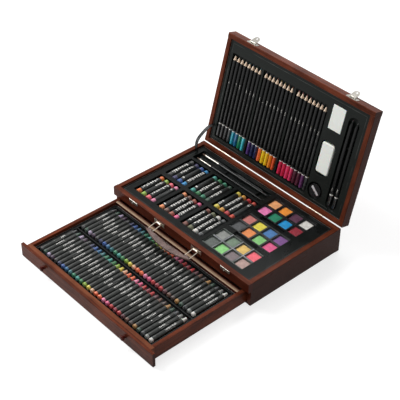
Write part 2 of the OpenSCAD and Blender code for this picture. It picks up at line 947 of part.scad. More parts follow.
module hinge_case_screws() {
    color(BRASS) case_screws_placed();
}

module hinge_pins() {
    color(BRASS) pair(hinge_spacing)
        translate([0, hinge_y, hinge_z])
        rotate([0, 90, 0])
        cylinder(h = hinge_l, d = pin_d, center = true);
}

module lid_screws_placed(grow = 0) {
    pair(hinge_spacing) hinge_screw_places(true) screw(grow = grow);
}

module hinge_lid_leaves() {
    color(BRASS) lid_opened() difference() {
        pair(hinge_spacing) leaf(1, true);
        lid_screws_placed(screw_fit);
    }
}

module hinge_lid_screws() {
    color(BRASS) lid_opened() lid_screws_placed();
}

// ---------------------------------------------------------------- lid

module lid_panel_shape(grow = 0) {
    translate([0, 0, lid_top - top_t - grow])
        slab(in_w + 2 * groove_d + 2 * grow, in_d + 2 * groove_d + 2 * grow, top_t + 2 * grow);
}

module lid_side() {
    difference() {
        board_y(left_x, wall_t, front_y + wall_t, in_d, lid_z0, lid_h, [1, 1, 0, 0]);
        lid_panel_shape(panel_fit);
    }
}

module lid_left_side() {
    color(WOOD_RIM) lid_opened() lid_side();
}

module lid_right_side() {
    color(WOOD_RIM) lid_opened() mirror([1, 0, 0]) lid_side();
}

module lid_front_rail() {
    color(WOOD_RIM) lid_opened() difference() {
        board_x(left_x, case_w, front_y, wall_t, lid_z0, lid_h, [1, 1, 0, 0]);
        lid_panel_shape(panel_fit);
        latch_screws_placed(screw_fit);
    }
}

module lid_hinge_rail() {
    color(WOOD_RIM) lid_opened() difference() {
        board_x(left_x, case_w, back_y - wall_t, wall_t, lid_z0, lid_h, [0, 0, 1, 1]);
        lid_panel_shape(panel_fit);
        lid_screws_placed(screw_fit);
        knuckle_recess();
    }
}

module lid_top_panel() {
    color(WOOD_DARK) lid_opened() lid_panel_shape();
}

// Everything that is let into the lid's tray, opening towards the rim
module lid_hollows(grow) {
    up = lid_tray_n - eps;
    for (b = [0 : bay_n - 1]) {
        in_lid(bay_mid(b), pencil_end_u + pencil_l / 2, up)
            round_slab(bay_w + 2 * grow, bay_l + 2 * grow, bay_floor_n - up + grow, pocket_r + grow);
    }
    in_lid(sketch_mid, pencil_end_u + pencil_l / 2, up)
        round_slab(sketch_w + 2 * grow, pencil_l + 2 * (sketch_end + grow),
            bay_floor_n - up + grow, sketch_w / 2 + grow - eps);
    in_lid(block_x, block_u, up)
        round_slab(block_size[0] + thing_fit + 2 * grow, block_size[1] + thing_fit + 2 * grow,
            block_size[2] + grow, pocket_r + grow);
    in_lid(eraser_x, eraser_u, up)
        round_slab(eraser_size[0] + eraser_room[0] + 2 * grow, eraser_size[1] + eraser_room[1] + 2 * grow,
            eraser_size[2] + grow, eraser_room_r + grow);
    in_lid(sharpener_x, sharpener_u, up)
        cylinder(h = sharpener_h + grow, d = sharpener_recess_d + 2 * grow);
}

function bay_mid(b) = bay_left + bay_w / 2 + b * bay_pitch;

module lid_tray() {
    color(TRAY_BLACK) lid_opened() {
        difference() {
            union() {
                translate([0, 0, lid_tray_z]) round_slab(tray_w, tray_d, tray_t, pocket_r);
                difference() {
                    translate([0, 0, lid_tray_z])
                        round_slab(tray_w, tray_d, tray_back_n - lid_tray_n, pocket_r);
                    translate([0, 0, lid_tray_z + eps])
                        round_slab(tray_w - 2 * tray_t, tray_d - 2 * tray_t, lid_h, pocket_r - tray_t / 2);
                }
                translate([0, 0, eps]) lid_hollows(tray_t);
            }
            lid_hollows(0);
        }
        for (u = pencil_comb_u) {
            for (b = [0 : bay_n - 1]) {
                in_lid(bay_mid(b), u, pencil_axis_n) pencil_comb(pencil_n, pencil_pitch);
            }
            in_lid(sketch_mid, u, pencil_axis_n) pencil_comb(2, sketch_pitch);
        }
    }
}

module pencil_comb(n, pitch) {
    rotate([0, 180, 0])
        comb(n, pitch, pencil_d + 2 * pencil_cradle_fit, pencil_comb_t, pencil_axis_n - bay_floor_n - eps,
            -pencil_cradle_h);
}

module each_pencil() {
    for (b = [0 : bay_n - 1], i = [0 : pencil_n - 1]) {
        in_lid(pencil_x0 + i * pencil_pitch + b * bay_pitch, pencil_end_u, pencil_axis_n)
            rotate([90, 0, 0])
            children();
    }
}

module each_sketch_pencil() {
    for (x = sketch_x) {
        in_lid(x, pencil_end_u, pencil_axis_n)
            rotate([90, 0, 0])
            children();
    }
}

// A stretch of six-sided pencil from a to b along its length
module pencil_stretch(a, b) {
    translate([0, 0, a]) cylinder(h = b - a, d = pencil_d, $fn = 6);
}

module pencil_point() {
    flat_d = pencil_d * cos(30) - 0.1;
    translate([0, 0, pencil_l - point_l])
        cylinder(h = point_l - lead_l, d1 = flat_d, d2 = lead_d, $fn = 24);
}

module pencil_lead() {
    translate([0, 0, pencil_l - lead_l]) cylinder(h = lead_l, d1 = lead_d, d2 = lead_end_d, $fn = 24);
}

module pencil_barrels() {
    color(PENCIL_BLACK) lid_opened() each_pencil() pencil_stretch(dip_l, pencil_l - point_l);
}

module pencil_points() {
    color(WOOD_PALE) lid_opened() each_pencil() pencil_point();
}

module pencil_leads() {
    color([0.30, 0.30, 0.55]) lid_opened() each_pencil() pencil_lead();
}

module pencil_dipped_ends() {
    color([0.20, 0.45, 0.70]) lid_opened() each_pencil() pencil_stretch(0, dip_l);
}

module sketch_pencils() {
    color(PENCIL_BLACK) lid_opened() each_sketch_pencil() {
        pencil_stretch(0, pencil_l - point_l);
        pencil_point();
        pencil_lead();
    }
}

module eraser_block() {
    color(WHITE) lid_opened()
        in_lid(block_x, block_u, lid_tray_n - seat_gap)
        round_slab(block_size[0], block_size[1], block_size[2], 1);
}

module eraser_rounded() {
    color(WHITE) lid_opened()
        in_lid(eraser_x, eraser_u, lid_tray_n - seat_gap)
        round_slab(eraser_size[0], eraser_size[1], eraser_size[2], eraser_r);
}

module sharpener_body() {
    color(PENCIL_BLACK) lid_opened()
        in_lid(sharpener_x, sharpener_u, lid_tray_n + sharpener_set)
        difference() {
            cylinder(h = sharpener_h - sharpener_set - seat_gap, d = sharpener_d);
            rotate(blade_turn)
                translate([0, 0, -1])
                slab(blade_size[0] + 2 * blade_fit, blade_size[1] + 2 * blade_fit, 1 + blade_size[2]);
            rotate(blade_turn)
                translate([0, -blade_size[1] / 2, (sharpener_h - sharpener_set) / 2 + 1])
                rotate([0, 90, 0])
                cylinder(h = sharpener_d, d1 = 1, d2 = 7, center = true, $fn = 32);
        }
}

module sharpener_blade() {
    color(NICKEL) lid_opened()
        in_lid(sharpener_x, sharpener_u, lid_tray_n + sharpener_set)
        rotate(blade_turn)
        slab(blade_size[0], blade_size[1], blade_size[2]);
}

// ---------------------------------------------------------------- latches and catches

// On the closed lid's front face: y is outwards, z up from the pin
module latch_place() {
    translate([0, front_y, lid_z0 + latch_pin_n]) children();
}

module latch_screw_places() {
    for (x = [-1, 1]) {
        translate([
            x * (latch_plate_w / 2 - latch_screw_in), -latch_plate_t,
            latch_plate_h / 2 + latch_plate_n0 - latch_pin_n,
        ])
            rotate([90, 0, 0])
            children();
    }
}

module latch_screws_placed(grow = 0) {
    pair(latch_spacing) latch_place() latch_screw_places() screw(grow = grow);
}

module latch_plate() {
    z0 = latch_plate_n0 - latch_pin_n;
    difference() {
        union() {
            translate([0, -latch_plate_t, z0 + latch_plate_h / 2])
                rotate([-90, 0, 0])
                round_slab(latch_plate_w, latch_plate_h, latch_plate_t, latch_plate_r);
            for (x = [-1, 1]) {
                translate([x * (lug_x + latch_lug_w / 2 + latch_lug_gap), -latch_pin_off, 0])
                    latch_lug();
            }
        }
        latch_screw_places() screw(grow = screw_fit);
    }
    translate([0, -latch_pin_off, 0])
        rotate([0, 90, 0])
        cylinder(h = 2 * lug_x + latch_lug_w, d = latch_pin_d, center = true, $fn = 24);
}

module latch_lug() {
    rotate([0, 90, 0]) cylinder(h = latch_lug_w, d = latch_barrel_d, center = true, $fn = 32);
    translate([-latch_lug_w / 2, 0, -latch_barrel_d / 2])
        cube([latch_lug_w, latch_pin_off - latch_plate_t / 2, latch_barrel_d]);
}

module latch_plates() {
    color(NICKEL) lid_opened() pair(latch_spacing) latch_place() latch_plate();
}

module latch_screws() {
    color(NICKEL) lid_opened() latch_screws_placed();
}

// A hasp hanging straight down from its pin
module hasp() {
    root = latch_barrel_d / 2 + 0.5;
    barrel_l = 2 * (lug_x - latch_lug_gap);
    difference() {
        union() {
            rotate([0, 90, 0]) cylinder(h = barrel_l, d = latch_barrel_d, center = true, $fn = 32);
            translate([0, hasp_t / 2, 0])
                rotate([90, 0, 0])
                linear_extrude(height = hasp_t) {
                    translate([0, -root / 2]) square([barrel_l, root + eps], center = true);
                    translate([0, -(hasp_l - hasp_w / 2 + root) / 2])
                        square([hasp_w, hasp_l - hasp_w / 2 - root], center = true);
                    translate([0, -hasp_l + hasp_w / 2]) circle(hasp_w / 2);
                }
        }
        rotate([0, 90, 0]) cylinder(h = hasp_w, d = latch_pin_d + 2 * pin_fit, center = true, $fn = 24);
        translate([0, 0, -hasp_hole_at])
            rotate([90, 0, 0])
            cylinder(h = 3, d = hasp_hole_d, center = true, $fn = 32);
    }
}

module hasp_placed(side) {
    lid_opened()
        translate([side * latch_spacing / 2, 0, 0])
        latch_place()
        translate([0, -latch_pin_off, 0])
        rotate([-hasp_open, 0, 0])
        hasp();
}

module latch_hasp_left() {
    color(NICKEL) hasp_placed(-1);
}

module latch_hasp_right() {
    color(NICKEL) hasp_placed(1);
}

module catch_place() {
    translate([0, front_y, catch_z]) children();
}

module catch_screw_places() {
    for (x = [-1, 1]) {
        translate([x * (catch_w / 2 - catch_screw_in), -catch_t, 0])
            rotate([90, 0, 0])
            children();
    }
}

module catch_screws_placed(grow = 0) {
    pair(latch_spacing) catch_place() catch_screw_places() screw(grow = grow);
}

module catch_plates() {
    color(NICKEL) pair(latch_spacing) catch_place() {
        difference() {
            union() {
                translate([0, -catch_t, catch_lift])
                    rotate([-90, 0, 0])
                    round_slab(catch_w, catch_h, catch_t, catch_r);
                translate([0, -catch_roll_d / 2, catch_h / 2])
                    rotate([0, 90, 0])
                    cylinder(h = catch_w - 3, d = catch_roll_d, center = true, $fn = 24);
            }
            catch_screw_places() screw(grow = screw_fit);
        }
        rotate([90, 0, 0]) cylinder(h = catch_post_l, d = catch_post_d, $fn = 32);
    }
}

module catch_screws() {
    color(NICKEL) catch_screws_placed();
}

// ---------------------------------------------------------------- handle

module handle_place() {
    translate([0, front_y, plate_z]) children();
}

module handle_screw_places() {
    for (x = [-1, 1]) {
        translate([x * (plate_w / 2 - plate_screw_in), -plate_t, 0])
            rotate([90, 0, 0])
            children();
    }
}

module handle_screws_placed(grow = 0) {
    pair(handle_spacing) handle_place() handle_screw_places() screw(grow = grow);
}

// A bow-tie plate with a barrel across it for the ring's wire
module eye_plate() {
    difference() {
        union() {
            rotate([90, 0, 0]) linear_extrude(height = plate_t) polygon([
                [-plate_w / 2, -plate_h / 2], [-eye_l / 2, -plate_waist / 2], [eye_l / 2, -plate_waist / 2],
                [plate_w / 2, -plate_h / 2], [plate_w / 2, plate_h / 2], [eye_l / 2, plate_waist / 2],
                [-eye_l / 2, plate_waist / 2], [-plate_w / 2, plate_h / 2],
            ]);
            translate([0, -eye_off, 0])
                rotate([0, 90, 0])
                cylinder(h = eye_l, d = eye_d, center = true, $fn = 32);
        }
        handle_screw_places() screw(grow = screw_fit);
        translate([0, -eye_off, 0])
            rotate([0, 90, 0])
            cylinder(h = plate_w, d = wire_d + 2 * ring_fit, center = true, $fn = 32);
    }
}

module handle_eye_plates() {
    color(BRASS) pair(handle_spacing) handle_place() eye_plate();
}

module handle_plate_screws() {
    color(BRASS) handle_screws_placed();
}

// The handle's own frame: the pins' axis along X through the origin, the rings reaching out along -Y
module handle_hung() {
    translate([0, front_y - eye_off, plate_z]) rotate([handle_droop, 0, 0]) children();
}

module wire_ring() {
    straight = ring_half - ring_corner_r;
    for (y = [0, -ring_reach]) {
        translate([0, y, 0])
            rotate([0, 90, 0])
            cylinder(h = 2 * straight, d = wire_d, center = true, $fn = 32);
    }
    for (s = [-1, 1]) {
        translate([s * ring_half, -ring_reach + ring_corner_r, 0])
            rotate([-90, 0, 0])
            cylinder(h = ring_reach - 2 * ring_corner_r, d = wire_d, $fn = 32);
        for (y = [0, 1]) {
            translate([s * straight, -ring_corner_r - y * (ring_reach - 2 * ring_corner_r), 0])
                rotate([0, 0, (s > 0 ? 0 : 90) + (y == 0 ? 0 : (s > 0 ? 270 : 90))])
                rotate_extrude(angle = 90, $fn = 48)
                translate([ring_corner_r, 0])
                circle(d = wire_d, $fn = 32);
        }
    }
}

module handle_ring_left() {
    color(BRASS) handle_hung() translate([-handle_spacing / 2, 0, 0]) wire_ring();
}

module handle_ring_right() {
    color(BRASS) handle_hung() translate([handle_spacing / 2, 0, 0]) wire_ring();
}

// The section of the grip: a flat band with round long edges
module grip_section() {
    r = grip_t / 2;
    square([grip_w - 2 * r, grip_t], center = true);
    for (s = [-1, 1]) {
        translate([s * (grip_w / 2 - r), 0]) circle(r, $fn = 32);
    }
}

module handle_grip() {
    clear = wire_d / 2 + 1;
    color(LEATHER) handle_hung() translate([0, -ring_reach, 0]) difference() {
        union() {
            intersection() {
                translate([0, bow_r - grip_bow, 0])
                    rotate([0, 0, 270 - bow_half - 4])
                    rotate_extrude(angle = 2 * bow_half + 8, $fn = 180)
                    translate([bow_r, 0])
                    grip_section();
                translate([-case_w / 2, -case_d - clear, -grip_t]) cube([case_w, case_d, 2 * grip_t]);
            }
            pair(handle_spacing) {
                rotate([0, 90, 0]) cylinder(h = boss_l, d = boss_d, center = true, $fn = 32);
                translate([-boss_l / 2, -clear - 2, -boss_d / 2]) cube([boss_l, clear + 2, boss_d]);
            }
        }
        pair(handle_spacing)
            rotate([0, 90, 0])
            cylinder(h = ring_w * 2, d = wire_d + 2 * ring_fit, center = true, $fn = 32);
    }
}

// ---------------------------------------------------------------- strap

// Points at a distance off the strap's middle line
function side_point(i, off) =
    let (a = strap_route[max(i - 1, 0)], b = strap_route[min(i + 1, len(strap_route) - 1)],
        d = b - a, l = norm(d))
    strap_route[i] + off * [-d[1], d[0]] / l;

module lid_strap() {
    last = len(strap_route) - 1;
    outline = concat(
        [for (i = [0 : last]) side_point(i, strap_t / 2)],
        [for (i = [last : -1 : 0]) side_point(i, -strap_t / 2)]
    );
    color(TRAY_BLACK)
        translate([left_x + strap_x - strap_w / 2, back_y, base_h])
        rotate([90, 0, 90])
        linear_extrude(height = strap_w)
        polygon(outline);
}

// ---------------------------------------------------------------- drawer

module drawer_front_panel() {
    color(WOOD_RIM) difference() {
        board_x(left_x, case_w, drawer_y - front_t, front_t, front_gap, front_h, [1, 1, 0, 0]);
        pair(knob_spacing) knob_bore();
    }
}

module knob_bore() {
    translate([0, drawer_y - front_t - 1, knob_z])
        rotate([-90, 0, 0])
        cylinder(h = knob_tenon_l + 1.1, d = knob_tenon_d + 2 * panel_fit, $fn = 32);
}

module drawer_inner_front() {
    color(WOOD_DARK) difference() {
        board_x(-drawer_w / 2, drawer_w, drawer_y, drawer_t, drawer_z, drawer_top - drawer_z);
        drawer_bottom_shape(panel_fit);
    }
}

module drawer_side() {
    difference() {
        board_y(-drawer_w / 2, drawer_t, drawer_y + drawer_t, drawer_l - drawer_t,
            drawer_z, drawer_top - drawer_z);
        drawer_bottom_shape(panel_fit);
    }
}

module drawer_left_side() {
    color(WOOD_DARK) drawer_side();
}

module drawer_right_side() {
    color(WOOD_DARK) mirror([1, 0, 0]) drawer_side();
}

module drawer_back() {
    color(WOOD_PALE) difference() {
        board_x(-drawer_w / 2 + drawer_t, drawer_w - 2 * drawer_t, drawer_back_y, drawer_t,
            drawer_z, drawer_top - drawer_z);
        drawer_bottom_shape(panel_fit);
    }
}

module drawer_bottom_shape(grow = 0) {
    w = drawer_w - 2 * drawer_t + 2 * groove_d;
    y0 = drawer_y + drawer_t - groove_d;
    y1 = drawer_back_y + groove_d;
    translate([-w / 2 - grow, y0 - grow, drawer_floor - grow])
        cube([w + 2 * grow, y1 - y0 + 2 * grow, drawer_bottom_t + 2 * grow]);
}

module drawer_bottom() {
    color(WOOD_DARK) drawer_bottom_shape();
}

module each_crayon_row() {
    for (r = [0 : crayon_rows - 1]) {
        translate([0, crayon_row_y + r * crayon_row_pitch, 0]) children();
    }
}

module crayon_hollows(grow) {
    each_crayon_row()
        translate([0, 0, crayon_floor - grow])
        round_slab(crayon_pocket_w + 2 * grow, crayon_pocket_d + 2 * grow,
            drawer_tray_top - crayon_floor + grow, pocket_r + grow);
}

module drawer_tray() {
    base = drawer_floor + drawer_bottom_t;
    color(TRAY_BLACK) {
        difference() {
            union() {
                translate([0, drawer_tray_y, drawer_tray_top - tray_t])
                    round_slab(drawer_in_w, drawer_in_d, tray_t, pocket_r);
                difference() {
                    translate([0, drawer_tray_y, base])
                        round_slab(drawer_in_w, drawer_in_d, drawer_tray_top - base, pocket_r);
                    translate([0, drawer_tray_y, base - eps])
                        round_slab(drawer_in_w - 2 * tray_t, drawer_in_d - 2 * tray_t,
                            drawer_tray_top - base, pocket_r - tray_t / 2);
                }
                crayon_hollows(tray_t);
            }
            translate([0, 0, eps]) crayon_hollows(0);
        }
        each_crayon_row()
            for (y = [-1, 1]) {
                translate([0, y * crayon_l / 4, crayon_axis_z])
                    comb(crayon_n, crayon_pitch, crayon_d + 2 * cradle_fit, crayon_comb_t,
                        crayon_floor - crayon_axis_z - eps, -cradle_h);
            }
    }
}

module each_crayon() {
    each_crayon_row()
        for (i = [0 : crayon_n - 1]) {
            translate([(i - (crayon_n - 1) / 2) * crayon_pitch, -crayon_l / 2, crayon_axis_z])
                rotate([-90, 0, 0])
                children();
        }
}

module crayon_sticks() {
    r = crayon_core_d / 2;
    shoulder = crayon_l - crayon_tip_l;
    color([0.75, 0.25, 0.25]) each_crayon()
        rotate_extrude($fn = 32)
        polygon([
            [0, 0], [r, 0], [r, shoulder], [r - crayon_shoulder * 0.9, shoulder + crayon_shoulder],
            [crayon_tip_d / 2, crayon_l], [0, crayon_l],
        ]);
}

module crayon_wrappers() {
    wrapper_l = crayon_l - crayon_tip_l - crayon_bare - crayon_wrap_back;
    color(WRAPPER) each_crayon()
        translate([0, 0, crayon_bare])
        difference() {
            cylinder(h = wrapper_l, d = crayon_d, $fn = 32);
            translate([0, 0, -1]) cylinder(h = wrapper_l + 2, d = crayon_core_d + 2 * wrap_fit, $fn = 32);
        }
}

// A turned knob with a tenon glued into the front panel
module drawer_knobs() {
    neck_r = knob_d * 0.28;
    color(WOOD_RIM) pair(knob_spacing)
        translate([0, drawer_y - front_t, knob_z])
        rotate([90, 0, 0])
        rotate_extrude()
        polygon([
            [0, -knob_tenon_l], [knob_tenon_d / 2, -knob_tenon_l], [knob_tenon_d / 2, 0], [knob_d * 0.34, 0],
            [knob_d * 0.34, 1.2], [neck_r, 2.6], [neck_r, knob_l * 0.42], [knob_d * 0.42, knob_l * 0.55],
            [knob_d / 2, knob_l * 0.68], [knob_d / 2, knob_l * 0.8], [knob_d * 0.42, knob_l * 0.93],
            [knob_d * 0.25, knob_l], [0, knob_l],
        ]);
}

// ---------------------------------------------------------------- the parts

case_left_side();
case_right_side();
case_back_wall();
case_front_rail();
case_bottom_panel();
tray_shelf();
upper_tray();
pastel_sticks();
pastel_wrappers();
palette_front();
palette_middle();
palette_rear();
paint_cakes_front();
paint_cakes_middle();
paint_cakes_rear();
brush_handles();
brush_ferrules();
brush_bristles();
hinge_case_leaves();
hinge_pins();
hinge_case_screws();
catch_plates();
catch_screws();
handle_eye_plates();
handle_plate_screws();
lid_strap();
handle_ring_left();
handle_ring_right();
handle_grip();
lid_left_side();
lid_right_side();
lid_front_rail();
lid_hinge_rail();
lid_top_panel();
lid_tray();
pencil_barrels();
pencil_points();
pencil_leads();
pencil_dipped_ends();
sketch_pencils();
eraser_block();
eraser_rounded();
sharpener_body();
sharpener_blade();
hinge_lid_leaves();
hinge_lid_screws();
latch_plates();
latch_screws();
latch_hasp_left();
latch_hasp_right();
drawer_front_panel();
drawer_inner_front();
drawer_left_side();
drawer_right_side();
drawer_back();
drawer_bottom();
drawer_tray();
crayon_sticks();
crayon_wrappers();
drawer_knobs();
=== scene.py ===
"""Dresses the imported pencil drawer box: finishes, detailed pieces, light and camera."""

import json
import math
import random

import bmesh
import bpy
from bpy.props import FloatProperty, FloatVectorProperty, IntProperty, PointerProperty
from mathutils import Matrix, Vector

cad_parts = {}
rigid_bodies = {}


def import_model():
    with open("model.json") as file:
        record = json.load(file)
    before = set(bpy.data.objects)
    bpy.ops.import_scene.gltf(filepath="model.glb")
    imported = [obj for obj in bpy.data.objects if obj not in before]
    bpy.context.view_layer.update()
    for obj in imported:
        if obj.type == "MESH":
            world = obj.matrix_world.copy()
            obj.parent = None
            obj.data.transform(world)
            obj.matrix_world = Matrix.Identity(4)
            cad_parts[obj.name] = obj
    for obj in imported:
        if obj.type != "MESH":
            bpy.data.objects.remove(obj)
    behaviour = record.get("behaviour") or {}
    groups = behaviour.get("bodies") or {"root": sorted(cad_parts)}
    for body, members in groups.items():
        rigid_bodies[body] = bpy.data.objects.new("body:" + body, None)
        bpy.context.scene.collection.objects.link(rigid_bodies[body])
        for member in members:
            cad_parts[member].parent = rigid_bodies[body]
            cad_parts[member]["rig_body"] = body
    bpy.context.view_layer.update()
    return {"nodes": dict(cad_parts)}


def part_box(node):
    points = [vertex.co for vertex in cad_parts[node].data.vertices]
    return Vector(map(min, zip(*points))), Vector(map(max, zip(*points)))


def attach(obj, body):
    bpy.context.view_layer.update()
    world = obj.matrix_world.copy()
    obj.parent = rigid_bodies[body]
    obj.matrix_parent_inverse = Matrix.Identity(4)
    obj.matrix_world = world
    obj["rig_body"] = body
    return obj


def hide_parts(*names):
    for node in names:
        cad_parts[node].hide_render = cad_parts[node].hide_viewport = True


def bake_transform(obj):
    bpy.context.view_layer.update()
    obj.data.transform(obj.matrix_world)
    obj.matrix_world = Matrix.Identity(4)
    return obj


bl_info = {
    "name": "Pencil drawer box",
    "version": (1, 0, 0),
    "blender": (4, 5, 0),
    "location": "View3D > Sidebar > Pencil Box",
    "description": "Builds and finishes a wooden art case with a lid of pencils and a crayon drawer",
    "category": "Object",
}

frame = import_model()

MM = 0.001
CASE_W = 385
CASE_D = 240
LID_Z = 54.6
LID_OPEN = 105
HINGE = Vector((0, 120.6, 54.3)) * MM
LID = (
    Matrix.Translation(HINGE)
    @ Matrix.Rotation(math.radians(-LID_OPEN), 4, "X")
    @ Matrix.Translation(-HINGE)
)
TO_FRONT = Matrix.Rotation(math.radians(90), 4, "X")
TO_BACK = Matrix.Rotation(math.radians(-90), 4, "X")
TO_RIGHT = Matrix.Rotation(math.radians(90), 4, "Y")

# Places and sizes of the contents in millimetres, as in the CAD source.
POCKET_PITCH = 69
PASTEL_FIRST = (57, 65, 44)
PASTEL_PITCH = 14.5
PASTEL_ROW_PITCH = 80.5
PASTEL_LENGTH = 66
PALETTE_MIDDLE = (95.5, -68)
CAKE_PITCH = (27.575, 28.4)
WELL_FLOOR = 43
FERRULE_WIDTH = 5
BRUSH_LENGTH = 192
BRUSH_AXIS = 47.2
PENCIL_FIRST = 27.5
PENCIL_PITCH = 10.05
PENCIL_BAY_PITCH = 87.7
PENCIL_SEAT = (22.3, 6.2)
SKETCH_PENCILS = (338.5, 351)
SKETCH_DIP = 23
SKETCH_RING = 2.4
DIP_RING = 1.8
LEAD_OUT = 3.2
CRAYON_FIRST = -159.5
CRAYON_PITCH = 11
CRAYON_ROWS = (-278.5, -182.5)
CRAYON_LENGTH = 83
CRAYON_AXIS = 24.5
RIBBON_X = -178.2
RIBBON_HALF = 3.8
TRAY_HALF = (182, 109.5)
LID_RIM = LID_Z + 3

# Degrees between two faces from which their edge is eased and shaded sharp.
SHARP = 38


def rgb(red, green, blue):
    """A colour read as 0 to 255, as Blender's linear colour."""
    def linear(value):
        share = value / 255
        return share / 12.92 if share <= 0.04045 else ((share + 0.055) / 1.055) ** 2.4
    return (linear(red), linear(green), linear(blue), 1.0)


SHADES = {
    "black": rgb(26, 26, 28), "charcoal": rgb(48, 50, 52), "dark grey": rgb(76, 78, 80),
    "grey": rgb(140, 142, 138), "grey green": rgb(112, 132, 112), "white": rgb(236, 233, 226),
    "lilac": rgb(184, 168, 196), "purple": rgb(132, 84, 150), "dark purple": rgb(64, 34, 66),
    "indigo": rgb(48, 42, 96), "navy": rgb(28, 38, 82), "blue": rgb(44, 92, 166),
    "dusty blue": rgb(74, 126, 184), "sky": rgb(30, 150, 215),
    "teal": rgb(22, 112, 120), "turquoise": rgb(66, 168, 156), "deep green": rgb(18, 66, 44),
    "green": rgb(36, 130, 70), "emerald": rgb(12, 132, 96), "leaf": rgb(136, 204, 124),
    "lime": rgb(150, 190, 62), "olive": rgb(98, 100, 60), "yellow": rgb(236, 220, 76),
    "amber": rgb(228, 162, 52), "gold": rgb(228, 190, 108), "ochre": rgb(182, 132, 62),
    "peach": rgb(244, 192, 152), "light orange": rgb(244, 148, 84), "orange": rgb(238, 118, 48),
    "orange red": rgb(218, 70, 42), "red": rgb(200, 34, 40), "coral": rgb(250, 108, 122),
    "crimson": rgb(152, 26, 48), "pink": rgb(244, 142, 178), "hot pink": rgb(236, 96, 146),
    "plum": rgb(88, 42, 70), "maroon": rgb(92, 28, 40), "rust": rgb(162, 74, 46),
    "red brown": rgb(124, 58, 40), "brown": rgb(106, 66, 48), "dark brown": rgb(62, 42, 34),
    "taupe": rgb(124, 112, 114),
    "beige pink": rgb(182, 152, 144), "dusty pink": rgb(200, 118, 112), "lagoon": rgb(44, 170, 190),
    "petrol": rgb(30, 110, 160), "jade": rgb(20, 130, 90), "bright cyan": rgb(70, 200, 214),
    "violet": rgb(80, 50, 120), "tangerine": rgb(250, 116, 60), "sunny": rgb(255, 214, 40),
    "marigold": rgb(250, 152, 36), "vermilion": rgb(235, 90, 40), "cerise": rgb(218, 40, 82),
    "raspberry": rgb(236, 62, 110), "aubergine": rgb(84, 30, 50), "heather": rgb(100, 50, 100),
    "slate": rgb(90, 96, 92), "bubblegum": rgb(246, 130, 190), "apricot": rgb(246, 172, 112),
    "mango": rgb(250, 152, 46), "azure": rgb(4, 150, 216),
}

DIPS = [
    "black", "black", "black", "charcoal", "lagoon", "petrol", "jade", "bright cyan",
    "violet", "navy", "navy", "tangerine", "sunny", "sunny", "marigold", "vermilion",
    "cerise", "cerise", "raspberry", "raspberry", "aubergine", "aubergine", "heather", "charcoal",
]
CRAYONS = [
    "black", "deep green", "lilac", "dark purple", "black", "navy", "blue", "petrol", "teal", "jade",
    "turquoise", "green", "lime", "yellow", "peach", "tangerine", "tangerine", "pink", "hot pink", "red",
    "crimson", "red", "maroon", "brown", "dark brown", "ochre", "deep green", "charcoal", "grey", "white",
]
PASTELS = [
    ["orange", "lime", "coral", "pink"], ["light orange", "brown", "rust", "hot pink"],
    ["red brown", "olive", "white", "dark grey"],
    ["black", "indigo", "blue", "sky"], ["turquoise", "green", "emerald", "deep green"],
    ["yellow", "amber", "red", "orange red"],
]
CAKES = {
    "front": ["grey", "grey green", "gold", "coral", "slate", "leaf", "taupe", "beige pink"],
    "middle": [
        "dusty pink", "yellow", "dusty blue", "purple", "dark grey", "light orange", "leaf", "hot pink",
    ],
    "rear": ["apricot", "mango", "plum", "white", "bubblegum", "emerald", "azure", "crimson"],
}


# ---------------------------------------------------------------- places

def mm(x, y, z):
    return Vector((x, y, z)) * MM


def from_corner(x, y, z):
    """A place measured in millimetres from the case's left front corner."""
    return Matrix.Translation(mm(x - CASE_W / 2, y - CASE_D / 2, z))


def in_lid(x, u, n):
    """A place in the opened lid: x from its left edge, u from its hinge edge, n up from its rim."""
    return LID @ Matrix.Translation(mm(x - CASE_W / 2, CASE_D / 2 - u, LID_Z + n))


# ---------------------------------------------------------------- node recipes

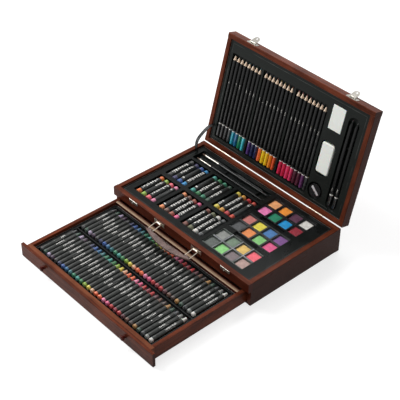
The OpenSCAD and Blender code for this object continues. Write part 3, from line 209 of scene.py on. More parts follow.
class Recipe:
    """Adds shader nodes to one tree and links them."""

    def __init__(self, tree):
        self.tree = tree

    def feed(self, socket, value):
        if isinstance(value, bpy.types.NodeSocket):
            self.tree.links.new(value, socket)
        else:
            socket.default_value = value

    def node(self, kind, inputs=None, **settings):
        made = self.tree.nodes.new(kind)
        for key, value in settings.items():
            setattr(made, key, value)
        for key, value in (inputs or {}).items():
            self.feed(made.inputs[key], value)
        return made

    def maths(self, operation, a, b=0.0):
        return self.node("ShaderNodeMath", {0: a, 1: b}, operation=operation).outputs[0]

    def plus(self, a, b):
        return self.maths("ADD", a, b)

    def minus(self, a, b):
        return self.maths("SUBTRACT", a, b)

    def times(self, a, b):
        return self.maths("MULTIPLY", a, b)

    def over(self, a, b):
        return self.maths("DIVIDE", a, b)

    def size(self, a):
        return self.maths("ABSOLUTE", a)

    def share(self, a):
        return self.maths("FRACT", a)

    def is_less(self, a, b):
        return self.maths("LESS_THAN", a, b)

    def is_more(self, a, b):
        return self.maths("GREATER_THAN", a, b)

    def largest(self, a, b):
        return self.maths("MAXIMUM", a, b)

    def smallest(self, a, b):
        return self.maths("MINIMUM", a, b)

    def mix(self, factor, a, b, blend_type="MIX"):
        made = self.node("ShaderNodeMix", None, data_type="RGBA", blend_type=blend_type)
        for index, value in ((0, factor), (6, a), (7, b)):
            self.feed(made.inputs[index], value)
        return made.outputs[2]

    def spread(self, value, low, high, to_low=0.0, to_high=1.0):
        made = self.node("ShaderNodeMapRange", {0: value, 1: low, 2: high, 3: to_low, 4: to_high})
        return made.outputs[0]

    def noise(self, place, scale, detail=3.0, roughness=0.5, distortion=0.0):
        made = self.node("ShaderNodeTexNoise", {
            "Vector": place, "Scale": scale, "Detail": detail,
            "Roughness": roughness, "Distortion": distortion,
        })
        return made.outputs[0]

    def stretched(self, place, scale, turn=(0, 0, 0)):
        made = self.node("ShaderNodeMapping", {"Vector": place, "Scale": scale, "Rotation": turn})
        return made.outputs[0]

    def here(self):
        return self.node("ShaderNodeTexCoord").outputs["Object"]

    def parts(self, place):
        """The X, Y and Z of a place."""
        return self.node("ShaderNodeSeparateXYZ", {0: place}).outputs

    def mottle(self, cloud_scale, speck_scale):
        return self.effect("mottle", Place=self.here(), Cloud_scale=cloud_scale, Speck_scale=speck_scale)

    def tint(self):
        made = self.node("ShaderNodeAttribute", None, attribute_name="tint")
        return made.outputs["Color"], made.outputs["Alpha"]

    def unrolled(self):
        return self.node("ShaderNodeUVMap", None, uv_map="unrolled").outputs[0]

    def effect(self, name, **inputs):
        made = self.node("ShaderNodeGroup", None, node_tree=bpy.data.node_groups[name])
        for key, value in inputs.items():
            self.feed(made.inputs[key.replace("_", " ")], value)
        return made.outputs

    def surface(self, colour, roughness, height=None, depth=0.0002, **sockets):
        shader = self.node("ShaderNodeBsdfPrincipled", {"Base Color": colour, "Roughness": roughness})
        for key, value in sockets.items():
            self.feed(shader.inputs[key.replace("_", " ")], value)
        if height is not None:
            bump = self.node("ShaderNodeBump", {"Height": height, "Strength": 1.0, "Distance": depth})
            self.feed(shader.inputs["Normal"], bump.outputs[0])
        output = self.node("ShaderNodeOutputMaterial")
        self.tree.links.new(shader.outputs[0], output.inputs[0])


def new_effect(name, inputs, outputs):
    """A node group with named sockets: its recipe, its inputs and its outputs."""
    tree = bpy.data.node_groups.new(name, "ShaderNodeTree")
    for label, kind, default in inputs:
        socket = tree.interface.new_socket(name=label, in_out="INPUT", socket_type=kind)
        if default is not None:
            socket.default_value = default
    for label in outputs:
        tree.interface.new_socket(name=label, in_out="OUTPUT", socket_type="NodeSocketFloat")
    recipe = Recipe(tree)
    return recipe, recipe.node("NodeGroupInput").outputs, recipe.node("NodeGroupOutput").inputs


def make_wood_grain():
    """Streaks, pores and broad blotches of wood that runs along local X."""
    r, given, put = new_effect("wood_grain", [
        ("Place", "NodeSocketVector", None), ("Figure scale", "NodeSocketFloat", 1.0),
    ], ["Figure", "Pores", "Height"])
    scaled = r.node("ShaderNodeVectorMath", {0: given["Place"], 3: given["Figure scale"]}, operation="SCALE")
    place = scaled.outputs[0]
    streaks = r.noise(r.stretched(place, (7, 90, 90)), 1.0, 5.0, 0.6, 0.8)
    lines = r.noise(r.stretched(place, (16, 420, 420)), 1.0, 3.0, 0.6, 0.3)
    blotches = r.noise(place, 22.0, 3.0, 0.55)
    pores = r.spread(r.noise(r.stretched(place, (70, 1500, 1500)), 1.0, 2.0), 0.60, 0.74)
    figure = r.plus(r.times(streaks, 0.45), r.times(lines, 0.25))
    figure = r.plus(figure, r.times(blotches, 0.3))
    r.feed(put["Figure"], r.spread(figure, 0.36, 0.64))
    r.feed(put["Pores"], pores)
    r.feed(put["Height"], r.minus(r.times(lines, 0.35), pores))


def make_mottle():
    """Cloudy smudges, fine speckle and a faint waviness, for plastic, wax, metal and paint."""
    r, given, put = new_effect("mottle", [
        ("Place", "NodeSocketVector", None), ("Cloud scale", "NodeSocketFloat", 60.0),
        ("Speck scale", "NodeSocketFloat", 1800.0),
    ], ["Cloud", "Speck", "Height"])
    cloud = r.noise(given["Place"], given["Cloud scale"], 4.0, 0.55)
    speck = r.noise(given["Place"], given["Speck scale"], 2.0, 0.6)
    r.feed(put["Cloud"], r.spread(cloud, 0.35, 0.65))
    r.feed(put["Speck"], r.spread(speck, 0.35, 0.65))
    r.feed(put["Height"], r.plus(cloud, r.times(speck, 0.3)))


def make_scratches():
    """Sparse hairline scratches from crossed, stretched noise."""
    r, given, put = new_effect("scratches", [
        ("Place", "NodeSocketVector", None), ("Amount", "NodeSocketFloat", 0.5),
    ], ["Mask"])
    first = r.noise(r.stretched(given["Place"], (40, 2600, 900), (0.3, 0.2, 0.5)), 1.0, 2.0)
    second = r.noise(r.stretched(given["Place"], (2200, 60, 1300), (0.1, 0.4, 0.9)), 1.0, 2.0)
    marks = r.largest(r.spread(first, 0.66, 0.72), r.spread(second, 0.67, 0.73))
    r.feed(put["Mask"], r.times(marks, given["Amount"]))


def make_print_bars():
    """Rows of small upright bars of uneven height, round a stick: a plain printed pattern, no letters."""
    r, given, put = new_effect("print_bars", [
        ("Place", "NodeSocketVector", None), ("From", "NodeSocketFloat", 0.1), ("To", "NodeSocketFloat", 0.5),
        ("Pitch", "NodeSocketFloat", 0.02), ("Middle", "NodeSocketFloat", 0.25),
        ("Half height", "NodeSocketFloat", 0.05), ("Seed", "NodeSocketFloat", 0.0),
    ], ["Mask"])
    parts = r.parts(given["Place"])
    along, around = parts[0], parts[1]
    count = r.plus(r.over(along, given["Pitch"]), r.times(given["Seed"], 41.0))
    cell = r.maths("FLOOR", count)
    share = r.share(count)
    lot = r.node("ShaderNodeTexWhiteNoise", {"W": cell}, noise_dimensions="1D").outputs[0]
    gap = r.node("ShaderNodeTexWhiteNoise", {
        "W": r.maths("FLOOR", r.over(count, 7.0)),
    }, noise_dimensions="1D").outputs[0]
    upright = r.is_less(r.size(r.minus(share, 0.5)), 0.33)
    tall = r.times(given["Half height"], r.plus(r.times(lot, 0.6), 0.4))
    turned = r.minus(r.share(around), given["Middle"])
    inside = r.is_less(r.size(turned), tall)
    started = r.is_more(along, given["From"])
    ended = r.is_less(along, given["To"])
    mask = r.times(upright, inside)
    mask = r.times(mask, r.times(started, ended))
    grid = r.node("ShaderNodeCombineXYZ", {0: r.times(count, 1.7), 1: r.times(around, 26.0)})
    broken = r.is_more(r.noise(grid.outputs[0], 1.0, 2.0), 0.47)
    r.feed(put["Mask"], r.times(mask, r.times(broken, r.is_more(gap, 0.14))))


# ---------------------------------------------------------------- finishes

FINISHES = {}


def finish(name):
    """A material made once, by the function kept under its name."""
    full_name = name + "_finish"
    if full_name not in bpy.data.materials:
        material = bpy.data.materials.new(full_name)
        material.use_nodes = True
        material.node_tree.nodes.clear()
        maker, arguments = FINISHES[name]
        maker(Recipe(material.node_tree), *arguments)
    return bpy.data.materials[full_name]


def wood(r, dark, light, turn, gloss, worn=None):
    """Boards; worn is a function that gives the mask and the colour of painted shade, or of a painted lit
    edge, on part of them.
    """
    place = r.stretched(r.here(), (1, 1, 1), [math.radians(a) for a in turn])
    grain = r.effect("wood_grain", Place=place)
    colour = r.mix(grain["Figure"], dark, light)
    if worn:
        # Painted light and shade from worn are mixed into the colour here.
        mask, shade = worn(r)
        colour = r.mix(mask, colour, shade)
    pores = r.mix(r.times(grain["Pores"], 0.5), (1, 1, 1, 1), (0.3, 0.22, 0.2, 1))
    colour = r.mix(1.0, colour, pores, "MULTIPLY")
    rough = r.spread(grain["Figure"], 0, 1, gloss + 0.08, gloss - 0.06)
    r.surface(colour, rough, grain["Height"], 0.00006, Specular_IOR_Level=0.06)


def stained_wood(r, turn, gloss, worn=None):
    """Boards in the two tones of stain that a user can change."""
    stain = bpy.context.scene.pencil_box_colours
    wood(r, (*stain.wood_dark, 1), (*stain.wood_light, 1), turn, gloss, worn)


def side_shade_share(r, x):
    """The share of painted shade, which lies on the box's left and right faces."""
    return r.times(r.is_more(r.size(x), (CASE_W / 2 - 0.3) * MM), 0.85)


def shaded_below(height, shade):
    """Painted shade on the part of a board lower than a height in millimetres, and on its ends in the box's
    outer faces.
    """
    def part(r):
        x, _y, z = r.parts(r.here())
        low = r.times(r.is_less(z, height * MM), 0.55)
        return r.largest(low, side_shade_share(r, x)), shade
    return part


def shaded_outer_faces(shade):
    """Painted shade on the left and right faces of the box."""
    def part(r):
        return side_shade_share(r, r.parts(r.here())[0]), shade
    return part


def lit_front_edge(front, back, top, shade):
    """Pale wood along the front edge of a board's top, fading to the board's own dark wood by its back edge:
    a painted lit edge that grades into painted shade under the case's front rail.
    """
    def part(r):
        parts = r.parts(r.here())
        bare = r.spread(parts[1], front * MM, back * MM, 1.0, 0.0)
        level = r.is_more(parts[2], top * MM)
        return r.times(bare, level), shade
    return part


def moulded_plastic(r, colour, roughness, specular=0.3, lines=None, line_colour=None):
    """Moulded sheet; lines is a function that gives the mask of its painted edge highlights."""
    mottle = r.mottle(38.0, 1500.0)
    scratches = r.effect("scratches", Place=r.here(), Amount=0.4)["Mask"]
    paler = (*(part * 1.5 for part in colour[:3]), 1)
    base = r.mix(r.times(mottle["Cloud"], 0.5), colour, paler)
    base = r.mix(r.times(scratches, 0.3), base, rgb(90, 94, 92))
    if lines:
        # Painted highlight lines along the edges, in line_colour.
        edge_highlight = r.times(lines(r), r.spread(mottle["Cloud"], 0, 1, 1.0, 0.6))
        base = r.mix(edge_highlight, base, line_colour)
    rough = r.plus(r.spread(mottle["Cloud"], 0, 1, roughness - 0.06, roughness + 0.08), scratches)
    r.surface(base, rough, mottle["Height"], 0.00012, Specular_IOR_Level=specular)


def off_middle(r, place, middle, half):
    """How far inside a rectangle's edges a place lies, and its height, in millimetres."""
    x, y, z = (r.times(part, 1000.0) for part in r.parts(place))
    gaps = [r.minus(half[k], r.size(r.minus(part, middle[k]))) for k, part in enumerate((x, y))]
    return r.smallest(*gaps), z


def outline_of(middle, half, top, in_the_lid=False, ridge=6.5):
    """A mask for painted highlight lines: on the outermost edge of a tray's flange and, fainter, on a ridge
    inside it.
    """
    def mask(r):
        place = r.here()
        if in_the_lid:
            turn = LID.inverted()
            place = r.node("ShaderNodeMapping", {
                "Vector": place, "Rotation": turn.to_euler(), "Location": turn.translation,
            }).outputs[0]
        inside, height = off_middle(r, place, middle, half)
        level = r.is_less(r.size(r.minus(height, top)), 1.2)
        faint = r.times(r.spread(r.noise(r.here(), 26.0, 2.0), 0.4, 0.6), 0.4)
        line = r.is_less(r.size(r.minus(inside, ridge)), 0.45)
        either = r.largest(r.is_less(inside, 0.9), r.times(line, faint))
        return r.times(either, level)
    return mask


def webs_of(middle, pitch, top):
    """A mask for fine painted highlight lines along the webs between a palette's cakes."""
    def mask(r):
        x, y, z = (r.times(part, 1000.0) for part in r.parts(r.here()))
        across = r.size(r.minus(y, middle[1]))
        column = r.share(r.over(r.minus(x, middle[0]), pitch))
        beside = r.times(r.smallest(column, r.minus(1.0, column)), pitch)
        within = r.is_less(r.size(r.minus(x, middle[0])), pitch * 1.9)
        line = r.is_less(r.smallest(across, beside), 0.55)
        faded = r.spread(r.noise(r.here(), 30.0, 2.0), 0.35, 0.6)
        level = r.is_more(z, top - 0.6)
        return r.times(r.times(line, within), r.times(level, faded))
    return mask


def paint_powder(r):
    colour, _seed = r.tint()
    mottle = r.mottle(160.0, 2600.0)
    strokes = r.noise(r.stretched(r.here(), (900, 120, 300), (0, 0, 0.5)), 1.0, 3.0)
    shade = r.mix(mottle["Cloud"], (0.82, 0.82, 0.82, 1), (1.1, 1.1, 1.1, 1))
    base = r.mix(1.0, colour, shade, "MULTIPLY")
    base = r.mix(r.spread(mottle["Speck"], 0.75, 1.0, 0, 0.22), base, (0.85, 0.84, 0.82, 1))
    r.surface(base, 0.62, r.plus(mottle["Height"], strokes), 0.0004, Specular_IOR_Level=0.35)


def stick_wax(r, roughness):
    colour, _seed = r.tint()
    mottle = r.mottle(220.0, 1900.0)
    base = r.mix(mottle["Cloud"], r.mix(0.25, colour, (0, 0, 0, 1)), r.mix(0.12, colour, (1, 1, 1, 1)))
    rough = r.spread(mottle["Speck"], 0, 1, roughness, roughness + 0.14)
    r.surface(base, rough, mottle["Height"], 0.0003, Subsurface_Weight=0.06, Subsurface_Scale=0.002)


def printed_paper(r, start, stray, length, pitch, middle, half, dark, light):
    """Black paper with a plain pattern of pale bars on part of it.

    It begins between start and start plus stray, in decimetres along the stick.
    """
    _colour, seed = r.tint()
    mottle = r.mottle(130.0, 3000.0)
    begin = r.plus(start, r.times(seed, stray))
    rolled = r.times(r.minus(r.share(r.times(seed, 7.3)), 0.5), 0.07)
    bars, small = (
        r.effect("print_bars", Place=r.unrolled(), From=begin, To=r.plus(begin, reach), Pitch=step,
                 Middle=r.plus(rolled, turn), Half_height=tall, Seed=seed)["Mask"]
        for reach, step, turn, tall in (
            (length, pitch, middle, half), (length * 0.8, 0.011, middle + 0.12, half * 0.4),
        )
    )
    base = r.mix(mottle["Cloud"], dark, light)
    base = r.mix(r.largest(bars, r.times(small, 0.5)), base, rgb(246, 245, 240))
    rough = r.spread(mottle["Speck"], 0, 1, 0.34, 0.5)
    r.surface(base, rough, mottle["Height"], 0.00015, Specular_IOR_Level=0.35)


def stick_lacquer(r, start=None, end=None):
    """Black lacquer with a faint printed pattern, in decimetres along it, and brighter marks at its end."""
    _colour, seed = r.tint()
    mottle = r.mottle(90.0, 900.0)
    base = r.mix(mottle["Cloud"], rgb(7, 7, 8), rgb(18, 19, 19))
    if start:
        faint, bright = (
            r.effect("print_bars", Place=r.unrolled(), From=low, To=high, Pitch=pitch, Middle=0.75,
                     Half_height=0.045, Seed=seed)["Mask"]
            for low, high, pitch in ((start, end, 0.012), (end - 0.03, end + 0.05, 0.021))
        )
        base = r.mix(r.times(faint, 0.3), base, rgb(150, 150, 146))
        base = r.mix(bright, base, rgb(222, 220, 212))
    rough = r.spread(mottle["Cloud"], 0, 1, 0.2, 0.34)
    r.surface(base, rough, mottle["Height"], 0.00005, Specular_IOR_Level=0.22)


def tinted_lacquer(r):
    colour, _seed = r.tint()
    mottle = r.mottle(180.0, 900.0)
    base = r.mix(mottle["Cloud"], r.mix(0.15, colour, (0, 0, 0, 1)), colour)
    r.surface(base, r.spread(mottle["Cloud"], 0, 1, 0.18, 0.3), mottle["Height"], 0.00005, Coat_Weight=0.35)


def pencil_wood(r):
    along = r.effect("wood_grain", Place=r.stretched(r.unrolled(), (0.1, 0.012, 1)), Figure_scale=3.0)
    base = r.mix(along["Figure"], rgb(226, 196, 166), rgb(250, 230, 208))
    r.surface(base, 0.6, along["Height"], 0.00005)


def metal(r, colour, roughness, scuff):
    mottle = r.mottle(240.0, 2200.0)
    scratches = r.effect("scratches", Place=r.here(), Amount=0.7)["Mask"]
    base = r.mix(mottle["Cloud"], colour, (*(part * scuff for part in colour[:3]), 1))
    polish = r.spread(mottle["Cloud"], 0, 1, roughness, roughness + 0.14)
    rough = r.plus(polish, r.times(scratches, 0.3))
    r.surface(base, rough, mottle["Height"], 0.00005, Metallic=1.0)


def leather(r):
    grains = r.node("ShaderNodeTexVoronoi", {"Vector": r.here(), "Scale": 1300.0}, feature="DISTANCE_TO_EDGE")
    cells = grains.outputs[0]
    mottle = r.mottle(90.0, 900.0)
    base = r.mix(mottle["Cloud"], rgb(80, 56, 50), rgb(118, 90, 82))
    base = r.mix(r.spread(cells, 0.0, 0.08, 0.45, 0.0), base, rgb(58, 38, 34))
    height = r.plus(r.spread(cells, 0.0, 0.12), r.times(mottle["Height"], 0.6))
    r.surface(base, r.spread(mottle["Cloud"], 0, 1, 0.3, 0.42), height, 0.00012)


def ribbon(r):
    weave = r.node("ShaderNodeTexWave", {
        "Vector": r.unrolled(), "Scale": 55.0, "Distortion": 0.4,
    }, bands_direction="X").outputs["Fac"]
    warp = r.node("ShaderNodeTexWave", {
        "Vector": r.unrolled(), "Scale": 16.0, "Distortion": 0.2,
    }, bands_direction="Y").outputs["Fac"]
    mottle = r.mottle(120.0, 2000.0)
    base = r.mix(mottle["Cloud"], rgb(7, 7, 8), rgb(20, 20, 22))
    r.surface(base, 0.28, r.plus(weave, warp), 0.00012)


def rubber(r, light, dark):
    mottle = r.mottle(110.0, 1600.0)
    scratches = r.effect("scratches", Place=r.here(), Amount=0.8)["Mask"]
    base = r.mix(mottle["Cloud"], light, dark)
    base = r.mix(r.times(scratches, 0.05), base, rgb(170, 170, 166))
    r.surface(base, 0.5, mottle["Height"], 0.00008, Subsurface_Weight=0.1, Subsurface_Scale=0.002)


def hair(r):
    strands = r.noise(r.stretched(r.unrolled(), (1.2, 70, 1)), 1.0, 3.0, 0.6)
    base = r.mix(r.spread(strands, 0.3, 0.7), rgb(46, 30, 22), rgb(118, 84, 56))
    r.surface(base, 0.55, strands, 0.0004, Sheen_Weight=0.2)


def seen_rays(r):
    """1 where the camera sees a surface, itself or in metal or glass, and 0 for the light it gives."""
    path = r.node("ShaderNodeLightPath").outputs
    return r.largest(path["Is Camera Ray"], r.largest(path["Is Glossy Ray"], path["Is Transmission Ray"]))


def floor_paper(r):
    fibre = r.noise(r.here(), 400.0, 3.0)
    base = r.mix(fibre, (0.42, 0.42, 0.42, 1), (0.44, 0.44, 0.44, 1))
    glow = r.times(seen_rays(r), 0.72)
    r.surface(base, 0.9, None, Emission_Color=(1, 1, 1, 1), Emission_Strength=glow)


# Painted shade for the box's left and right faces, which little light reaches; the rest of these boards is
# their stain.
CASE_SIDE_SHADE = rgb(46, 17, 8)
LID_SIDE_SHADE = rgb(56, 18, 8)
# Colour of the painted highlight lines on the trays' flanges.
FLANGE_HIGHLIGHT = rgb(120, 124, 122)
FINISHES.update({
    "stained_wood_across_side_shade": (stained_wood, ((0, 0, 0), 0.3, shaded_outer_faces(CASE_SIDE_SHADE))),
    "stained_wood_deep_side_shade": (stained_wood, ((0, 0, 90), 0.3, shaded_outer_faces(CASE_SIDE_SHADE))),
    "stained_wood_lid_across_side_shade": (stained_wood, ((LID_OPEN, 0, 0), 0.3, shaded_outer_faces(LID_SIDE_SHADE))),
    "stained_wood_lid_deep_side_shade": (stained_wood, ((LID_OPEN, 0, 90), 0.3, shaded_outer_faces(LID_SIDE_SHADE))),
    "stained_wood_knobs": (wood, (rgb(58, 20, 16), rgb(98, 42, 34), (0, 0, 0), 0.26)),
    "stained_panel": (wood, (rgb(60, 30, 24), rgb(96, 54, 44), (0, 0, 0), 0.5)),
    "amber_stain": (wood, (rgb(92, 46, 28), rgb(138, 82, 56), (0, 0, 0), 0.34)),
    "stained_panel_lid": (stained_wood, ((LID_OPEN, 0, 0), 0.44)),
    "bare_wood": (wood, (rgb(160, 128, 96), rgb(202, 172, 134), (0, 0, 0), 0.6)),
    # The front rail: its stain, with painted shade on its face under the top edge and on its ends.
    "case_rail_stain_and_shade": (stained_wood, ((0, 0, 0), 0.3, shaded_below(53.4, rgb(62, 16, 8)))),
    # The drawer back: dark stained wood, with a painted lit front edge on its top.
    "drawer_back_stain_and_lit_edge": (wood, (
        rgb(44, 15, 11), rgb(78, 32, 24), (0, 0, 0), 0.4,
        lit_front_edge(-130, -123, 30.3, rgb(196, 168, 140)))),
    "upper_tray_plastic": (moulded_plastic, (
        rgb(6, 9, 8), 0.3, 0.12, outline_of((0, 0), TRAY_HALF, 50, False, 4.5), FLANGE_HIGHLIGHT)),
    "lid_tray_plastic": (moulded_plastic, (
        rgb(10, 15, 12), 0.4, 0.16, outline_of((0, 0), TRAY_HALF, LID_RIM, True), FLANGE_HIGHLIGHT)),
    # The drawer tray's outline is a paler painted highlight line.
    "drawer_tray_plastic": (moulded_plastic, (
        rgb(7, 9, 9), 0.4, 0.16, outline_of((0, -229), (173, 98.5), 25), rgb(150, 146, 142))),
    # The front palette's webs get painted highlight lines in pale lavender.
    "palette_front_plastic": (moulded_plastic, (
        rgb(74, 80, 76), 0.3, 0.3, webs_of(PALETTE_MIDDLE, CAKE_PITCH[0], 49), rgb(196, 192, 208))),
    "palette_middle_plastic": (moulded_plastic, (rgb(48, 50, 50), 0.3)),
    "palette_rear_plastic": (moulded_plastic, (rgb(14, 15, 16), 0.3)),
    "paint": (paint_powder, ()),
    "pastel_wax": (stick_wax, (0.42,)),
    "crayon_wax": (stick_wax, (0.3,)),
    "pastel_paper": (printed_paper, (
        0.10, 0.05, 0.42, 0.055, 0.27, 0.12, rgb(18, 20, 20), rgb(40, 43, 42))),
    "crayon_paper": (printed_paper, (
        0.26, 0.13, 0.26, 0.021, 0.77, 0.068, rgb(26, 28, 27), rgb(50, 53, 50))),
    "pencil_lacquer": (stick_lacquer, (0.38, 1.22)),
    "sketch_lacquer": (stick_lacquer, (0.3, 0.37)),
    "brush_lacquer": (stick_lacquer, ()),
    "pencil_dip": (tinted_lacquer, ()),
    "pencil_lead": (stick_wax, (0.4,)),
    "pencil_wood": (pencil_wood, ()),
    "nickel": (metal, ((0.44, 0.42, 0.38, 1), 0.24, 0.8)),
    "brass": (metal, ((0.62, 0.55, 0.46, 1), 0.27, 0.84)),
    "blade_steel": (metal, ((0.86, 0.87, 0.89, 1), 0.25, 0.94)),
    "grip_leather": (leather, ()),
    "strap_ribbon": (ribbon, ()),
    "eraser_rubber": (rubber, (rgb(252, 255, 248), rgb(248, 252, 244))),
    "sharpener_plastic": (moulded_plastic, (rgb(18, 19, 20), 0.26)),
    "brush_hair": (hair, ()),
    "floor_paper": (floor_paper, ()),
})


# ---------------------------------------------------------------- shaping

def turned(profile, segments=24):
    """A closed solid turned round +Z from (radius, height) points in millimetres, unrolled."""
    bm = bmesh.new()
    points = [bm.verts.new(mm(radius, 0, height)) for radius, height in profile]
    edges = [bm.edges.new(pair) for pair in zip(points, points[1:])]
    if profile[0][0] and profile[-1][0]:
        edges.append(bm.edges.new((points[-1], points[0])))
    bmesh.ops.spin(
        bm, geom=points + edges, cent=(0, 0, 0), axis=(0, 0, 1), angle=math.tau, steps=segments,
        use_merge=True,
    )
    bmesh.ops.remove_doubles(bm, verts=bm.verts[:], dist=1e-6)
    bmesh.ops.recalc_face_normals(bm, faces=bm.faces[:])
    unroll(bm)
    return bm


def drawn_out(rings, sides=24):
    """A closed solid through rings, each a function from the angle to (radius, height) in millimetres."""
    bm = bmesh.new()
    bmesh.ops.create_circle(bm, cap_ends=False, segments=sides, radius=1.0)
    loop = bm.verts[:]
    angles = [math.atan2(v.co.y, v.co.x) for v in loop]
    edges = bm.edges[:]

    def put(ring):
        for vert, angle in zip(loop, angles):
            radius, height = ring(angle)
            vert.co = mm(radius * math.cos(angle), radius * math.sin(angle), height)

    put(rings[0])
    for ring in rings[1:]:
        grown = bmesh.ops.extrude_edge_only(bm, edges=edges)["geom"]
        fresh = {e for e in grown if isinstance(e, bmesh.types.BMVert)}
        edges = [e for e in grown if isinstance(e, bmesh.types.BMEdge) and set(e.verts) <= fresh]
        loop = [next(e.other_vert(v) for e in v.link_edges if e.other_vert(v) in fresh) for v in loop]
        put(ring)
    bmesh.ops.holes_fill(bm, edges=bm.edges[:], sides=0)
    bmesh.ops.recalc_face_normals(bm, faces=bm.faces[:])
    unroll(bm)
    return bm


def unroll(bm):
    """A UV map on a stick along +Z: decimetres along, turns around."""
    layer = bm.loops.layers.uv.new("unrolled")
    for face in bm.faces:
        around = {}
        for loop in face.loops:
            co = loop.vert.co
            if co.xy.length > 1e-7:
                around[loop] = (math.atan2(co.y, co.x) / math.tau) % 1.0
        if around and max(around.values()) - min(around.values()) > 0.5:
            around = {loop: turn + (turn < 0.5) for loop, turn in around.items()}
        middle = sum(around.values()) / len(around) if around else 0.0
        for loop in face.loops:
            loop[layer].uv = (loop.vert.co.z * 10, around.get(loop, middle))


def hexagon(across):
    """Radius of a six-sided pencil, corners a little worn, at an angle."""
    flat, corner = across / 2 * math.cos(math.radians(30)), across / 2 * 0.975
    def radius(angle):
        part = math.degrees(angle) % 60 - 30
        return min(flat / math.cos(math.radians(part)), corner)
    return radius


def as_mesh(name, bm):
    mesh = bpy.data.meshes.new(name)
    bm.to_mesh(mesh)
    bm.free()
    return mesh


def laid_out(template, places, tints=None):
    """One mesh with a copy of the template at each place, each with its own tint."""
    pattern = as_mesh("pattern", template)
    whole = bmesh.new()
    for place in places:
        start = len(whole.verts)
        whole.from_mesh(pattern)
        whole.verts.ensure_lookup_table()
        bmesh.ops.transform(whole, matrix=place, verts=whole.verts[start:])
    if tints:
        size = len(pattern.vertices)
        layer = whole.verts.layers.float_color.new("tint")
        whole.verts.ensure_lookup_table()
        for index, vert in enumerate(whole.verts):
            vert[layer] = tints[index // size]
    bpy.data.meshes.remove(pattern)
    return whole


def dyed(names, seed=1):
    """A tint for each stick: its colour, and in the fourth place a number of its own."""
    luck = random.Random(seed)
    return [tuple(SHADES[name][:3]) + (luck.random(),) for name in names]


def place_piece(name, bm, material, nodes, sharp=SHARP, keep_flats=False):
    """Makes a mesh a piece that stands for CAD nodes, on their body, in a finish."""
    mesh = as_mesh(name, bm)
    mesh.materials.append(finish(material))
    mesh.shade_smooth()
    mesh.set_sharp_from_angle(angle=math.radians(sharp))
    piece = bpy.data.objects.new(name, mesh)
    bpy.context.scene.collection.objects.link(piece)
    if keep_flats:
        flats = piece.modifiers.new("keep_flats", "WEIGHTED_NORMAL")
        flats.keep_sharp = True
        flats.weight = 90
    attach(piece, frame["nodes"][nodes[0]]["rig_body"])
    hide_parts(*nodes)
    return piece


def softened(node, material, width, segments=2, only=None, turn=None, cuts=((), ())):
    """A copy of a CAD piece with its sharp edges eased by width in millimetres.

    Planes at the places in cuts keep a face with holes from becoming one polygon.
    """
    bm = bmesh.new()
    bm.from_mesh(frame["nodes"][node].data)
    bmesh.ops.remove_doubles(bm, verts=bm.verts[:], dist=2e-6)
    if turn:
        bmesh.ops.transform(bm, matrix=turn.inverted(), verts=bm.verts[:])
    for axis, places in enumerate(cuts):
        for place in places:
            along = Vector((axis == 0, axis == 1, 0))
            cut = bmesh.ops.bisect_plane(
                bm, geom=bm.verts[:] + bm.edges[:] + bm.faces[:], dist=1e-7, plane_co=along * place * MM,
                plane_no=along,
            )["geom_cut"]
            for edge in cut:
                if isinstance(edge, bmesh.types.BMEdge):
                    edge.seam = True
    bmesh.ops.dissolve_limit(
        bm, angle_limit=math.radians(0.5), verts=bm.verts[:], edges=bm.edges[:], delimit={"SEAM"},
    )
    edges = [
        e for e in bm.edges
        if len(e.link_faces) == 2 and e.calc_face_angle(0) > math.radians(SHARP)
        and (only is None or all(only(v.co / MM) for v in e.verts))
    ]
    if width and edges:
        bmesh.ops.bevel(
            bm, geom=edges, offset=width * MM, offset_type="OFFSET", segments=segments, profile=0.5,
            affect="EDGES", material=-1, clamp_overlap=True,
        )
    if turn:
        bmesh.ops.transform(bm, matrix=turn, verts=bm.verts[:])
    return place_piece(node + "_eased", bm, material, [node], keep_flats=True)


# ---------------------------------------------------------------- sizes and colours a user would change

class PencilBoxSizes(bpy.types.PropertyGroup):
    board_ease: FloatProperty(
        name="Board edge", description="Rounding of the wooden boards' edges", default=0.5 * MM,
        min=0.1 * MM, max=1.2 * MM, unit="LENGTH")
    tray_ease: FloatProperty(
        name="Tray edge", description="Rounding of the moulded trays' rims", default=0.55 * MM,
        min=0.1 * MM, max=0.9 * MM, unit="LENGTH")
    metal_ease: FloatProperty(
        name="Metal edge", description="Rounding of the metal plates' edges", default=0.14 * MM,
        min=0.02 * MM, max=0.3 * MM, unit="LENGTH")
    pencil_across: FloatProperty(
        name="Pencil", description="Width of a pencil across its corners", default=8.0 * MM,
        min=6.5 * MM, max=8.0 * MM, unit="LENGTH")
    pencil_length: FloatProperty(
        name="Pencil length", description="Length of a pencil", default=180.0 * MM,
        min=150.0 * MM, max=180.0 * MM, unit="LENGTH")
    dip_length: FloatProperty(
        name="Dipped end", description="Length of a pencil's dipped end", default=28.0 * MM,
        min=10.0 * MM, max=40.0 * MM, unit="LENGTH")
    stick_sides: IntProperty(
        name="Stick sides", description="Sides of each round stick", default=24, min=12, max=48)


class PencilBoxColours(bpy.types.PropertyGroup):
    wood_dark: FloatVectorProperty(
        name="Stain, dark", description="Dark streaks of the stained wood", default=rgb(54, 23, 14)[:3],
        min=0.0, max=1.0, size=3, subtype="COLOR")
    wood_light: FloatVectorProperty(
        name="Stain, light", description="Light streaks of the stained wood", default=rgb(124, 61, 39)[:3],
        min=0.0, max=1.0, size=3, subtype="COLOR")
    background: FloatVectorProperty(
        name="Background", description="Colour behind the object", default=(1.0, 1.0, 1.0),
        min=0.0, max=1.0, size=3, subtype="COLOR")


class PencilBoxLight(bpy.types.PropertyGroup):
    key_power: FloatProperty(
        name="Key light", description="Power of the soft light at the upper left", default=64.0, min=0.0,
        subtype="POWER")
    sky: FloatProperty(
        name="Sky", description="Even light from all around", default=0.34, min=0.0, max=1.0,
        subtype="FACTOR")


# ---------------------------------------------------------------- operators

